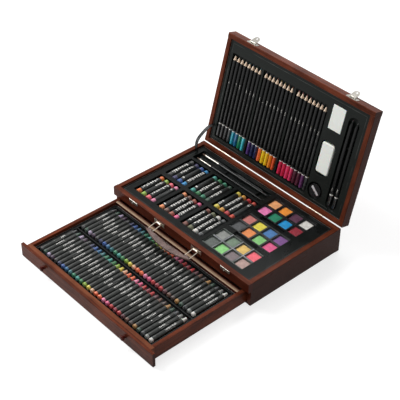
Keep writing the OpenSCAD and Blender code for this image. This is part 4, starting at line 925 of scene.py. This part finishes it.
class PencilBoxStage(bpy.types.Operator):
    """Set up the floor, the soft light, the sky and the camera"""
    bl_idname = "pencil_box.stage"
    bl_label = "Stage"

    def execute(self, context):
        light = context.scene.pencil_box_light
        bm = bmesh.new()
        bmesh.ops.create_grid(bm, x_segments=1, y_segments=1, size=9.0)
        mesh = as_mesh("floor", bm)
        mesh.materials.append(finish("floor_paper"))
        floor = bpy.data.objects.new("floor", mesh)
        context.scene.collection.objects.link(floor)
        floor.location.z = -0.2 * MM
        self.add_lamp("key_softbox", Vector((-1.85, -0.75, 1.9)), 1.3, light.key_power)
        self.add_lamp("rear_softbox", Vector((-0.6, 1.5, 1.9)), 1.0, light.key_power * 0.3)
        world = bpy.data.worlds.new("soft_sky")
        context.scene.world = world
        world.use_nodes = True
        world.node_tree.nodes.clear()
        r = Recipe(world.node_tree)
        strength = r.plus(r.times(seen_rays(r), 1.0 - light.sky), light.sky)
        shade = (*context.scene.pencil_box_colours.background, 1.0)
        sky = r.node("ShaderNodeBackground", {"Color": shade, "Strength": strength})
        world.node_tree.links.new(sky.outputs[0], r.node("ShaderNodeOutputWorld").inputs[0])
        self.add_camera(context)
        context.scene.view_settings.view_transform = "Standard"
        return {"FINISHED"}

    def add_lamp(self, name, where, size, power):
        data = bpy.data.lights.new(name, "AREA")
        data.size = size
        data.energy = power
        lamp = bpy.data.objects.new(name, data)
        lamp.location = where
        lamp.rotation_euler = (Vector((0, -0.05, 0.05)) - where).to_track_quat("-Z", "Y").to_euler()
        bpy.context.scene.collection.objects.link(lamp)

    def add_camera(self, context):
        """The photograph's view, found from the box's corners in it."""
        azimuth, elevation, roll = (math.radians(angle) for angle in (47.923, 38.011, 0.489))
        target, distance = mm(-43.41, -24.90, 58.16), 2128.3 * MM
        level = math.cos(elevation)
        back = Vector((math.sin(azimuth) * level, -math.cos(azimuth) * level, math.sin(elevation)))
        right = Vector((0, 0, 1)).cross(back).normalized()
        up = back.cross(right)
        across = right * math.cos(roll) + up * math.sin(roll)
        upright = up * math.cos(roll) - right * math.sin(roll)
        data = bpy.data.cameras.new("camera")
        data.sensor_width = 36
        data.lens = 1100.2 / 400 * data.sensor_width
        data.clip_end = 100
        camera = bpy.data.objects.new("camera", data)
        turn = Matrix((across, upright, back)).transposed().to_4x4()
        camera.matrix_world = Matrix.Translation(target + back * distance) @ turn
        context.scene.collection.objects.link(camera)
        context.scene.camera = camera


class PencilBoxBoards(bpy.types.Operator):
    """Finish the wooden boards of the case, the lid and the drawer"""
    bl_idname = "pencil_box.boards"
    bl_label = "Boards"

    def execute(self, context):
        ease = context.scene.pencil_box_sizes.board_ease / MM
        boards = {
            "case_left_side": ("stained_wood_deep_side_shade", "case_wood"),
            "case_right_side": ("stained_wood_deep_side_shade", "case_wood"),
            "case_back_wall": ("stained_wood_across_side_shade", "case_wood"),
            "case_front_rail": ("case_rail_stain_and_shade", "case_wood"),
            "case_bottom_panel": ("stained_panel", "panel_wood"),
            "tray_shelf": ("bare_wood", "pale_wood"),
            "lid_left_side": ("stained_wood_lid_deep_side_shade", "case_wood"),
            "lid_right_side": ("stained_wood_lid_deep_side_shade", "case_wood"),
            "lid_front_rail": ("stained_wood_lid_across_side_shade", "case_wood"),
            "lid_hinge_rail": ("stained_wood_lid_across_side_shade", "case_wood"),
            "lid_top_panel": ("stained_panel_lid", "panel_wood"),
            "drawer_front_panel": ("stained_wood_across_side_shade", "case_wood"),
            "drawer_inner_front": ("amber_stain", "panel_wood"),
            "drawer_left_side": ("stained_wood_deep_side_shade", "panel_wood"),
            "drawer_right_side": ("stained_wood_deep_side_shade", "panel_wood"),
            "drawer_back": ("drawer_back_stain_and_lit_edge", "pale_wood"),
            "drawer_bottom": ("stained_panel", "panel_wood"),
        }
        for node, (material, slot) in boards.items():
            softened(node, material, ease)
        self.turn_knobs()
        return {"FINISHED"}

    def turn_knobs(self):
        profile = [
            (0, -5), (2.3, -5), (2.5, -4.6), (2.5, 0.05), (3.6, 0.05), (3.75, 0.45), (3.6, 0.9),
            (3.2, 1.3), (3.05, 2.0), (3.0, 3.2), (3.4, 4.2), (4.2, 5.1), (5.0, 6.0), (5.45, 6.8),
            (5.45, 7.5), (5.1, 8.3), (4.4, 8.9), (3.3, 9.3), (1.7, 9.47), (0, 9.5),
        ]
        low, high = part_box("drawer_knobs")
        y = high.y / MM - 5
        z = (low.z + high.z) / 2 / MM
        places = [Matrix.Translation(mm(x, y, z)) @ TO_FRONT for x in (-119, 119)]
        bm = laid_out(turned(profile, 40), places)
        place_piece("drawer_knobs_turned", bm, "stained_wood_knobs", ["drawer_knobs"], 60)


class PencilBoxTrays(bpy.types.Operator):
    """Finish the moulded trays and the paint palettes"""
    bl_idname = "pencil_box.trays"
    bl_label = "Trays"

    def execute(self, context):
        ease = context.scene.pencil_box_sizes.tray_ease / MM
        for node, turn in (("upper_tray", None), ("drawer_tray", None), ("lid_tray", LID)):
            rim = LID_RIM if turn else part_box(node)[1].z / MM
            self.ease_rim(node, "tray_plastic", ease, rim, turn)
        for place in ("front", "middle", "rear"):
            node = "palette_" + place
            self.ease_rim(node, "palette_plastic", 0.3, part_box(node)[1].z / MM, None)
        return {"FINISHED"}

    def ease_rim(self, node, slot, width, rim, turn):
        """Eases only the edges of a moulded sheet's top face."""
        softened(
            node, node + "_plastic", width, only=lambda co: abs(co.z - rim) < 0.01, turn=turn,
            cuts=self.middles(node),
        )

    def middles(self, node):
        """Where planes through the middles of the hollows cut a tray: places in x and in y, millimetres."""
        if node == "upper_tray":
            return (-135.5, -66.5, 2.5, 95.5), (-68, -55, 1, 25.5, 70, 83.5)
        if node == "drawer_tray":
            return (0,), CRAYON_ROWS
        if node == "lid_tray":
            return (-129.8, -42.1, 45.6, 110.7, 152.3), (85, 7.7, -33, -69.5)
        x, y = PALETTE_MIDDLE
        y += POCKET_PITCH * ("front", "middle", "rear").index(node.split("_")[1])
        columns = tuple(x + CAKE_PITCH[0] * k for k in (-1.5, -0.5, 0.5, 1.5))
        return columns, (y - CAKE_PITCH[1] / 2, y + CAKE_PITCH[1] / 2)


class PencilBoxPastels(bpy.types.Operator):
    """Make the wax pastel sticks and their paper wrappers"""
    bl_idname = "pencil_box.pastels"
    bl_label = "Pastels"

    def execute(self, context):
        sides = context.scene.pencil_box_sizes.stick_sides
        first_x, first_y, axis = PASTEL_FIRST
        places, names = [], []
        for pocket, colours in enumerate(PASTELS):
            column, row = pocket % 3, pocket // 3
            for stick, name in enumerate(colours):
                x = first_x + POCKET_PITCH * column + (stick - 1.5) * PASTEL_PITCH
                middle = from_corner(x, first_y + PASTEL_ROW_PITCH * row, axis) @ TO_FRONT
                places.append(middle @ Matrix.Translation(mm(0, 0, -PASTEL_LENGTH / 2)))
                names.append(name)
        half = [(0, 0), (3.4, 0), (4.7, 0.3), (5.2, 0.8), (5.35, 1.6)]
        stick = half + [(radius, PASTEL_LENGTH - height) for radius, height in reversed(half)]
        paper = [
            (5.4, 8), (5.68, 7.97), (5.75, 8.1), (5.72, 33),
            (5.75, 57.9), (5.68, 58.03), (5.4, 58), (5.4, 33),
        ]
        tints = dyed(names, 3)
        sticks = laid_out(turned(stick, sides), places, tints)
        place_piece("pastels_waxed", sticks, "pastel_wax", ["pastel_sticks"])
        papers = laid_out(turned(paper, sides), places, tints)
        place_piece("pastel_papers", papers, "pastel_paper", ["pastel_wrappers"])
        return {"FINISHED"}


class PencilBoxPaints(bpy.types.Operator):
    """Press the cakes of paint in the three palettes"""
    bl_idname = "pencil_box.paints"
    bl_label = "Paints"

    def execute(self, context):
        x, y = PALETTE_MIDDLE
        for index, place in enumerate(("front", "middle", "rear")):
            places = [
                Matrix.Translation(mm(
                    x + (column - 1.5) * CAKE_PITCH[0],
                    y + POCKET_PITCH * index + (row - 0.5) * CAKE_PITCH[1], WELL_FLOOR))
                for row in (1, 0) for column in range(4)
            ]
            bm = laid_out(self.cake(), places, dyed(CAKES[place], 11 + index))
            place_piece("paints_" + place + "_pressed", bm, "paint", ["paint_cakes_" + place], 60)
        return {"FINISHED"}

    def cake(self):
        """A pressed square, softly domed with a worn rim, on the well's floor."""
        wide, deep, tall, worn_from = 23.475, 23.6, 3.5, 0.82
        bm = bmesh.new()
        bmesh.ops.create_grid(bm, x_segments=12, y_segments=12, size=0.5)
        for vert in bm.verts:
            across = max(abs(vert.co.x), abs(vert.co.y)) * 2
            fall = max(0.0, across - worn_from) / (1 - worn_from)
            dome = math.cos(vert.co.x * math.pi) * math.cos(vert.co.y * math.pi)
            height = tall - 0.55 + 0.5 * dome - 0.85 * fall * fall
            vert.co = mm(vert.co.x * wide, vert.co.y * deep, height)
        rim = [e for e in bm.edges if e.is_boundary]
        grown = bmesh.ops.extrude_edge_only(bm, edges=rim)["geom"]
        for vert in grown:
            if isinstance(vert, bmesh.types.BMVert):
                vert.co.z = 0
        bmesh.ops.holes_fill(bm, edges=bm.edges[:], sides=0)
        bmesh.ops.recalc_face_normals(bm, faces=bm.faces[:])
        return bm


class PencilBoxBrushes(bpy.types.Operator):
    """Turn the two brushes: handle, crimped ferrule and hair"""
    bl_idname = "pencil_box.brushes"
    bl_label = "Brushes"

    def execute(self, context):
        handles, ferrules, tufts = bmesh.new(), bmesh.new(), bmesh.new()
        for x, y, hair_l, ferrule_l, size in ((26, 212, 10, 40, 1.0), (29, 194.6, 9, 33, 0.72)):
            place = [from_corner(x, y, BRUSH_AXIS) @ TO_RIGHT]
            self.add(handles, self.handle(hair_l + ferrule_l, size), place)
            self.add(ferrules, self.ferrule(hair_l, ferrule_l, size), place)
            self.add(tufts, self.tuft(hair_l, size), place)
        place_piece("brush_handles_turned", handles, "brush_lacquer", ["brush_handles"], 60)
        place_piece("brush_ferrules_crimped", ferrules, "nickel", ["brush_ferrules"], 50)
        place_piece("brush_tufts", tufts, "brush_hair", ["brush_bristles"], 70)
        return {"FINISHED"}

    def add(self, whole, template, places):
        """Puts a copy of the template at each place into the whole."""
        mesh = as_mesh("part", laid_out(template, places))
        whole.from_mesh(mesh)
        bpy.data.meshes.remove(mesh)

    def handle(self, start, size):
        """A slim handle that swells behind its ferrule and tapers to a round end."""
        wide, full = FERRULE_WIDTH * size / 2, 3.5 * size
        seat, inside, swell = wide - 0.4, 4, 30
        points = [(0, start - inside), (seat, start - inside), (seat, start), (wide, start + 0.05)]
        steps = 12
        for step in range(1, steps + 1):
            share = step / steps
            radius = wide + (full - wide) * math.sin(share * math.pi / 2)
            points.append((radius, start + swell * share))
        long = BRUSH_LENGTH - inside - start - swell
        steps = 10
        for step in range(1, steps + 1):
            share = step / steps
            points.append((full * (1 - 0.4 * share), start + swell + long * share))
        for reach, short in ((0.56, 2.4), (0.44, 1), (0.24, 0.2), (0, 0)):
            points.append((full * reach, BRUSH_LENGTH - short))
        return turned(points)

    def ferrule(self, start, length, size):
        """A flared metal tube with three crimped grooves near the handle."""
        wide = FERRULE_WIDTH * size / 2
        def radius(share):
            return wide * (0.8 + 0.2 * share)
        points = [(radius(0) - 0.25, start + 0.4), (radius(0) - 0.05, start), (radius(0) + 0.03, start + 0.3)]
        smooth, crimps, pitch, depth = length - 12.5, length - 12, 3.2, 0.16
        for part in range(1, 6):
            at = smooth * part / 5
            points.append((radius(at / length), start + at))
        for crimp in range(3):
            at = crimps + crimp * pitch
            around = radius(at / length)
            points += [
                (around, start + at), (around - depth, start + at + 0.5),
                (around - depth, start + at + 0.9), (around, start + at + 1.4),
            ]
        end = start + length
        inner = wide - 0.33
        points += [
            (wide, end - 0.1), (wide - 0.12, end), (inner, end),
            (inner, end - 4.02), (0.3, end - 4.05), (0.3, start + 0.4),
        ]
        return turned(points)

    def tuft(self, length, size):
        """Hair in soft ridges that gather to the tip."""
        wide = FERRULE_WIDTH * size * 0.38
        def ring(share, reach):
            def at(angle):
                ridge = 1 + 0.05 * math.cos(angle * 9) * (1 - share)
                ragged = 0.35 * (share < 0.3) * math.cos(angle * 4 + 1)
                return wide * reach * ridge * 0.96, length * share + ragged
            return at
        steps = ((0.06, 0.16), (0.14, 0.3), (0.25, 0.5), (0.4, 0.7), (0.6, 0.86), (0.8, 0.96), (1.0, 1.0))
        return drawn_out([ring(share, reach) for share, reach in steps], 36)


class PencilBoxPencils(bpy.types.Operator):
    """Make the coloured and the black pencils in the lid"""
    bl_idname = "pencil_box.pencils"
    bl_label = "Pencils"

    def execute(self, context):
        sizes = context.scene.pencil_box_sizes
        long, dip, six = sizes.pencil_length / MM, sizes.dip_length / MM, hexagon(sizes.pencil_across / MM)
        self.coloured(long, dip, six)
        self.black(long, six)
        return {"FINISHED"}

    def coloured(self, long, dip, six):
        places = [
            in_lid(PENCIL_FIRST + PENCIL_PITCH * pencil + PENCIL_BAY_PITCH * bay, *PENCIL_SEAT) @ TO_FRONT
            for bay in range(3) for pencil in range(8)
        ]
        tints = dyed(DIPS, 5)
        darker = [(*(part * 0.35 for part in tint[:3]), tint[3]) for tint in tints]
        white = dyed(["white"] * len(places))
        barrels = self.barrel(six, dip + DIP_RING, long)
        self.make("pencil_barrels_lacquered", barrels, places, tints, "pencil_lacquer", "pencil_barrels")
        self.make("pencil_points_cut", self.point(six, long), places, tints, "pencil_wood", "pencil_points")
        self.make("pencil_leads_sharpened", self.lead(long), places, darker, "pencil_lead", "pencil_leads")
        ends = self.dipped(six, dip)
        self.make("pencil_ends_dipped", ends, places, tints, "pencil_dip", "pencil_dipped_ends")
        rings = self.ring(six, dip, dip + DIP_RING)
        self.make("pencil_rings", rings, places, white, "pencil_dip", "pencil_dipped_ends")

    def black(self, long, six):
        places = [in_lid(x, *PENCIL_SEAT) @ TO_FRONT for x in SKETCH_PENCILS]
        names = ["black"] * len(places)
        grey = dyed(names, 8)
        ring_end = SKETCH_DIP + SKETCH_RING
        for kind, template, tints, material, slot in (
            ("barrels", self.barrel(six, ring_end, long), grey, "sketch_lacquer", "pencil_lacquer"),
            ("points", self.point(six, long), grey, "brush_lacquer", "pencil_lacquer"),
            ("leads", self.lead(long), grey, "pencil_lead", "pencil_lead"),
            ("ends", self.dipped(six, SKETCH_DIP), dyed(names), "pencil_dip", "pencil_dip"),
            ("rings", self.ring(six, SKETCH_DIP, ring_end), dyed(["white"] * 2), "pencil_dip", "pencil_dip"),
        ):
            self.make("sketch_" + kind, template, places, tints, material, "sketch_pencils", slot)

    def make(self, name, template, places, tints, material, node, slot=None):
        bm = laid_out(template, places, tints)
        place_piece(name, bm, material, [node], 48)

    def ring(self, six, low, high):
        return drawn_out([lambda angle: (six(angle) + 0.02, low), lambda angle: (six(angle) + 0.02, high)])

    def cut(self, six, long):
        """Where the sharpener's cone meets the six sides, so the lacquer ends in scallops."""
        return lambda angle: long - LEAD_OUT - (six(angle) - 1.0) * (9.3 / 3.0)

    def barrel(self, six, start, long):
        edge = self.cut(six, long)
        return drawn_out([
            lambda a: (six(a), start), lambda a: (six(a), long / 2), lambda a: (six(a), edge(a)),
            lambda a: (six(a) - 0.1, edge(a) + 0.02),
        ])

    def point(self, six, long):
        edge = self.cut(six, long)
        return drawn_out([
            lambda a: (six(a) - 0.12, edge(a) - 0.6), lambda a: (six(a) - 0.1, edge(a) + 0.02),
            lambda a: ((six(a) - 0.1) * 0.55 + 0.45, (edge(a) + long - LEAD_OUT) / 2),
            lambda a: (1.0, long - LEAD_OUT),
        ])

    def lead(self, long):
        return turned([(0, long - 3.3), (0.96, long - 3.3), (0.98, long - 3.1), (0.62, long - 1.6),
                       (0.3, long - 0.4), (0.16, long - 0.06), (0, long)], 12)

    def dipped(self, six, dip):
        return drawn_out([
            lambda a: (six(a) * 0.55, 0.0), lambda a: (six(a) * 0.86, 0.25), lambda a: (six(a) * 0.97, 0.9),
            lambda a: (six(a), 1.8), lambda a: (six(a) + 0.01, dip - 0.3), lambda a: (six(a), dip),
        ])


class PencilBoxLidTools(bpy.types.Operator):
    """Finish the erasers, the sharpener and its blade"""
    bl_idname = "pencil_box.lid_tools"
    bl_label = "Erasers and sharpener"

    def execute(self, context):
        softened("eraser_block", "eraser_rubber", 1.3, 3)
        softened("eraser_rounded", "eraser_rubber", 2.2, 4)
        softened("sharpener_body", "sharpener_plastic", 0.6, 3)
        softened("sharpener_blade", "blade_steel", 0.12, 1)
        return {"FINISHED"}


class PencilBoxCrayons(bpy.types.Operator):
    """Make the two rows of wax crayons and their paper wrappers"""
    bl_idname = "pencil_box.crayons"
    bl_label = "Crayons"

    def execute(self, context):
        sides = context.scene.pencil_box_sizes.stick_sides
        places, names = [], []
        for y in CRAYON_ROWS:
            for index, name in enumerate(CRAYONS):
                foot = mm(CRAYON_FIRST + CRAYON_PITCH * index, y - CRAYON_LENGTH / 2, CRAYON_AXIS)
                places.append(Matrix.Translation(foot) @ TO_BACK)
                names.append(name)
        stick = [
            (0, 0.1), (3.4, 0.0), (4.15, 0.35), (4.4, 1.0), (4.4, 74), (4.2, 74.5), (3.6, 74.8), (3.5, 75.4),
            (2.5, 82.2), (2.1, 82.8), (1.4, CRAYON_LENGTH), (0, CRAYON_LENGTH),
        ]
        paper = [
            (4.42, 5), (4.62, 4.98), (4.7, 5.1), (4.68, 40),
            (4.7, 72.4), (4.62, 72.52), (4.42, 72.5), (4.42, 40),
        ]
        tints = dyed(names, 7)
        sticks = laid_out(turned(stick, sides), places, tints)
        place_piece("crayons_waxed", sticks, "crayon_wax", ["crayon_sticks"])
        papers = laid_out(turned(paper, sides), places, tints)
        place_piece("crayon_papers", papers, "crayon_paper", ["crayon_wrappers"])
        return {"FINISHED"}


class PencilBoxHardware(bpy.types.Operator):
    """Finish the hinges, latches, catches, handle plates and screws"""
    bl_idname = "pencil_box.hardware"
    bl_label = "Hardware"

    def execute(self, context):
        ease = context.scene.pencil_box_sizes.metal_ease / MM
        metals = {
            "hinge_case_leaves": "brass", "hinge_lid_leaves": "brass", "hinge_pins": "brass",
            "hinge_case_screws": "brass", "hinge_lid_screws": "brass",
            "catch_plates": "nickel", "catch_screws": "nickel", "handle_eye_plates": "brass",
            "handle_plate_screws": "brass", "latch_plates": "nickel", "latch_screws": "nickel",
            "latch_hasp_left": "nickel", "latch_hasp_right": "nickel",
            "handle_ring_left": "brass", "handle_ring_right": "brass",
        }
        for node, metal_name in metals.items():
            width = 0.0 if "ring" in node else ease
            softened(node, metal_name, width, 1 if "screw" in node else 2)
        softened("handle_grip", "grip_leather", 0.5, 2)
        return {"FINISHED"}


class PencilBoxStrap(bpy.types.Operator):
    """Hang the black ribbon that stays the lid at the left"""
    bl_idname = "pencil_box.strap"
    bl_label = "Strap"

    def execute(self, context):
        route = self.smooth([Vector((RIBBON_X, 120 + y, 54 + z)) for y, z in self.knots()], 6)
        bm = bmesh.new()
        across = [RIBBON_X + RIBBON_HALF * side for side in (-1, -0.82, 0, 0.82, 1)]
        row = [bm.verts.new(mm(x, *route[0].yz)) for x in across]
        edges = [bm.edges.new(pair) for pair in zip(row, row[1:])]
        rows = [row]
        for point, before in zip(route[1:], route):
            grown = bmesh.ops.extrude_edge_only(bm, edges=edges)["geom"]
            row = [v for v in grown if isinstance(v, bmesh.types.BMVert)]
            edges = [e for e in grown if isinstance(e, bmesh.types.BMEdge) and all(v in row for v in e.verts)]
            bmesh.ops.translate(bm, verts=row, vec=(point - before) * MM)
            rows.append(row)
        layer = bm.loops.layers.uv.new("unrolled")
        for face in bm.faces:
            for loop in face.loops:
                along = next(step for step, row in enumerate(rows) if loop.vert in row)
                loop[layer].uv = (along * 0.012, loop.vert.co.x * 10)
        bmesh.ops.solidify(bm, geom=bm.faces[:], thickness=0.8 * MM)
        bmesh.ops.recalc_face_normals(bm, faces=bm.faces[:])
        mesh = as_mesh("stay_ribbon", bm)
        mesh.materials.append(finish("strap_ribbon"))
        mesh.shade_smooth()
        piece = bpy.data.objects.new("stay_ribbon", mesh)
        context.scene.collection.objects.link(piece)
        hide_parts("lid_strap")
        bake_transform(piece)
        return {"FINISHED"}

    def knots(self):
        """Points from the lid's end to the case's, in millimetres behind the back face and above the rim."""
        lean = math.radians(LID_OPEN)
        dy, dz = -43.2, 3.1
        lid_end = (
            0.6 + dy * math.cos(lean) + dz * math.sin(lean),
            0.3 - dy * math.sin(lean) + dz * math.cos(lean),
        )
        return [
            lid_end, (12, 41.9), (7.5, 41.8), (1, 42), (-5.5, 40.6), (-13, 37), (-19.6, 33.2), (-25.5, 29.4),
            (-30.5, 24.6), (-33.6, 19), (-35.1, 13), (-35.4, 7), (-34.6, 1.5), (-33, -3.8),
        ]

    def smooth(self, knots, steps):
        """The same points joined by one smooth curve."""
        line = []
        for k in range(len(knots) - 1):
            a, b, c, d = (knots[min(max(k + j, 0), len(knots) - 1)] for j in (-1, 0, 1, 2))
            for step in range(steps):
                t = step / steps
                line.append(0.5 * (2 * b + (c - a) * t + (2 * a - 5 * b + 4 * c - d) * t ** 2
                                   + (3 * b - a - 3 * c + d) * t ** 3))
        return line + [knots[-1]]


class PencilBoxPanel(bpy.types.Panel):
    bl_idname = "VIEW3D_PT_pencil_box"
    bl_label = "Pencil drawer box"
    bl_space_type = "VIEW_3D"
    bl_region_type = "UI"
    bl_category = "Pencil Box"

    def draw(self, context):
        column = self.layout.column()
        for name in GROUPS:
            group = getattr(context.scene, name)
            for key in group.__annotations__:
                column.prop(group, key)
        for operator in OPERATORS:
            column.operator(operator.bl_idname)


OPERATORS = (
    PencilBoxStage, PencilBoxBoards, PencilBoxTrays, PencilBoxPastels, PencilBoxPaints, PencilBoxBrushes,
    PencilBoxPencils, PencilBoxLidTools, PencilBoxCrayons, PencilBoxHardware, PencilBoxStrap,
)
GROUPS = {
    "pencil_box_sizes": PencilBoxSizes,
    "pencil_box_colours": PencilBoxColours,
    "pencil_box_light": PencilBoxLight,
}
CLASSES = (*GROUPS.values(), *OPERATORS, PencilBoxPanel)


def register():
    for cls in CLASSES:
        bpy.utils.register_class(cls)
    for name, group in GROUPS.items():
        setattr(bpy.types.Scene, name, PointerProperty(type=group))


def unregister():
    for name in GROUPS:
        delattr(bpy.types.Scene, name)
    for cls in reversed(CLASSES):
        bpy.utils.unregister_class(cls)


def main():
    register()
    for make in (make_wood_grain, make_mottle, make_scratches, make_print_bars):
        make()
    for operator in OPERATORS:
        group, name = operator.bl_idname.split(".")
        getattr(getattr(bpy.ops, group), name)()


if __name__ == "__main__":
    main()
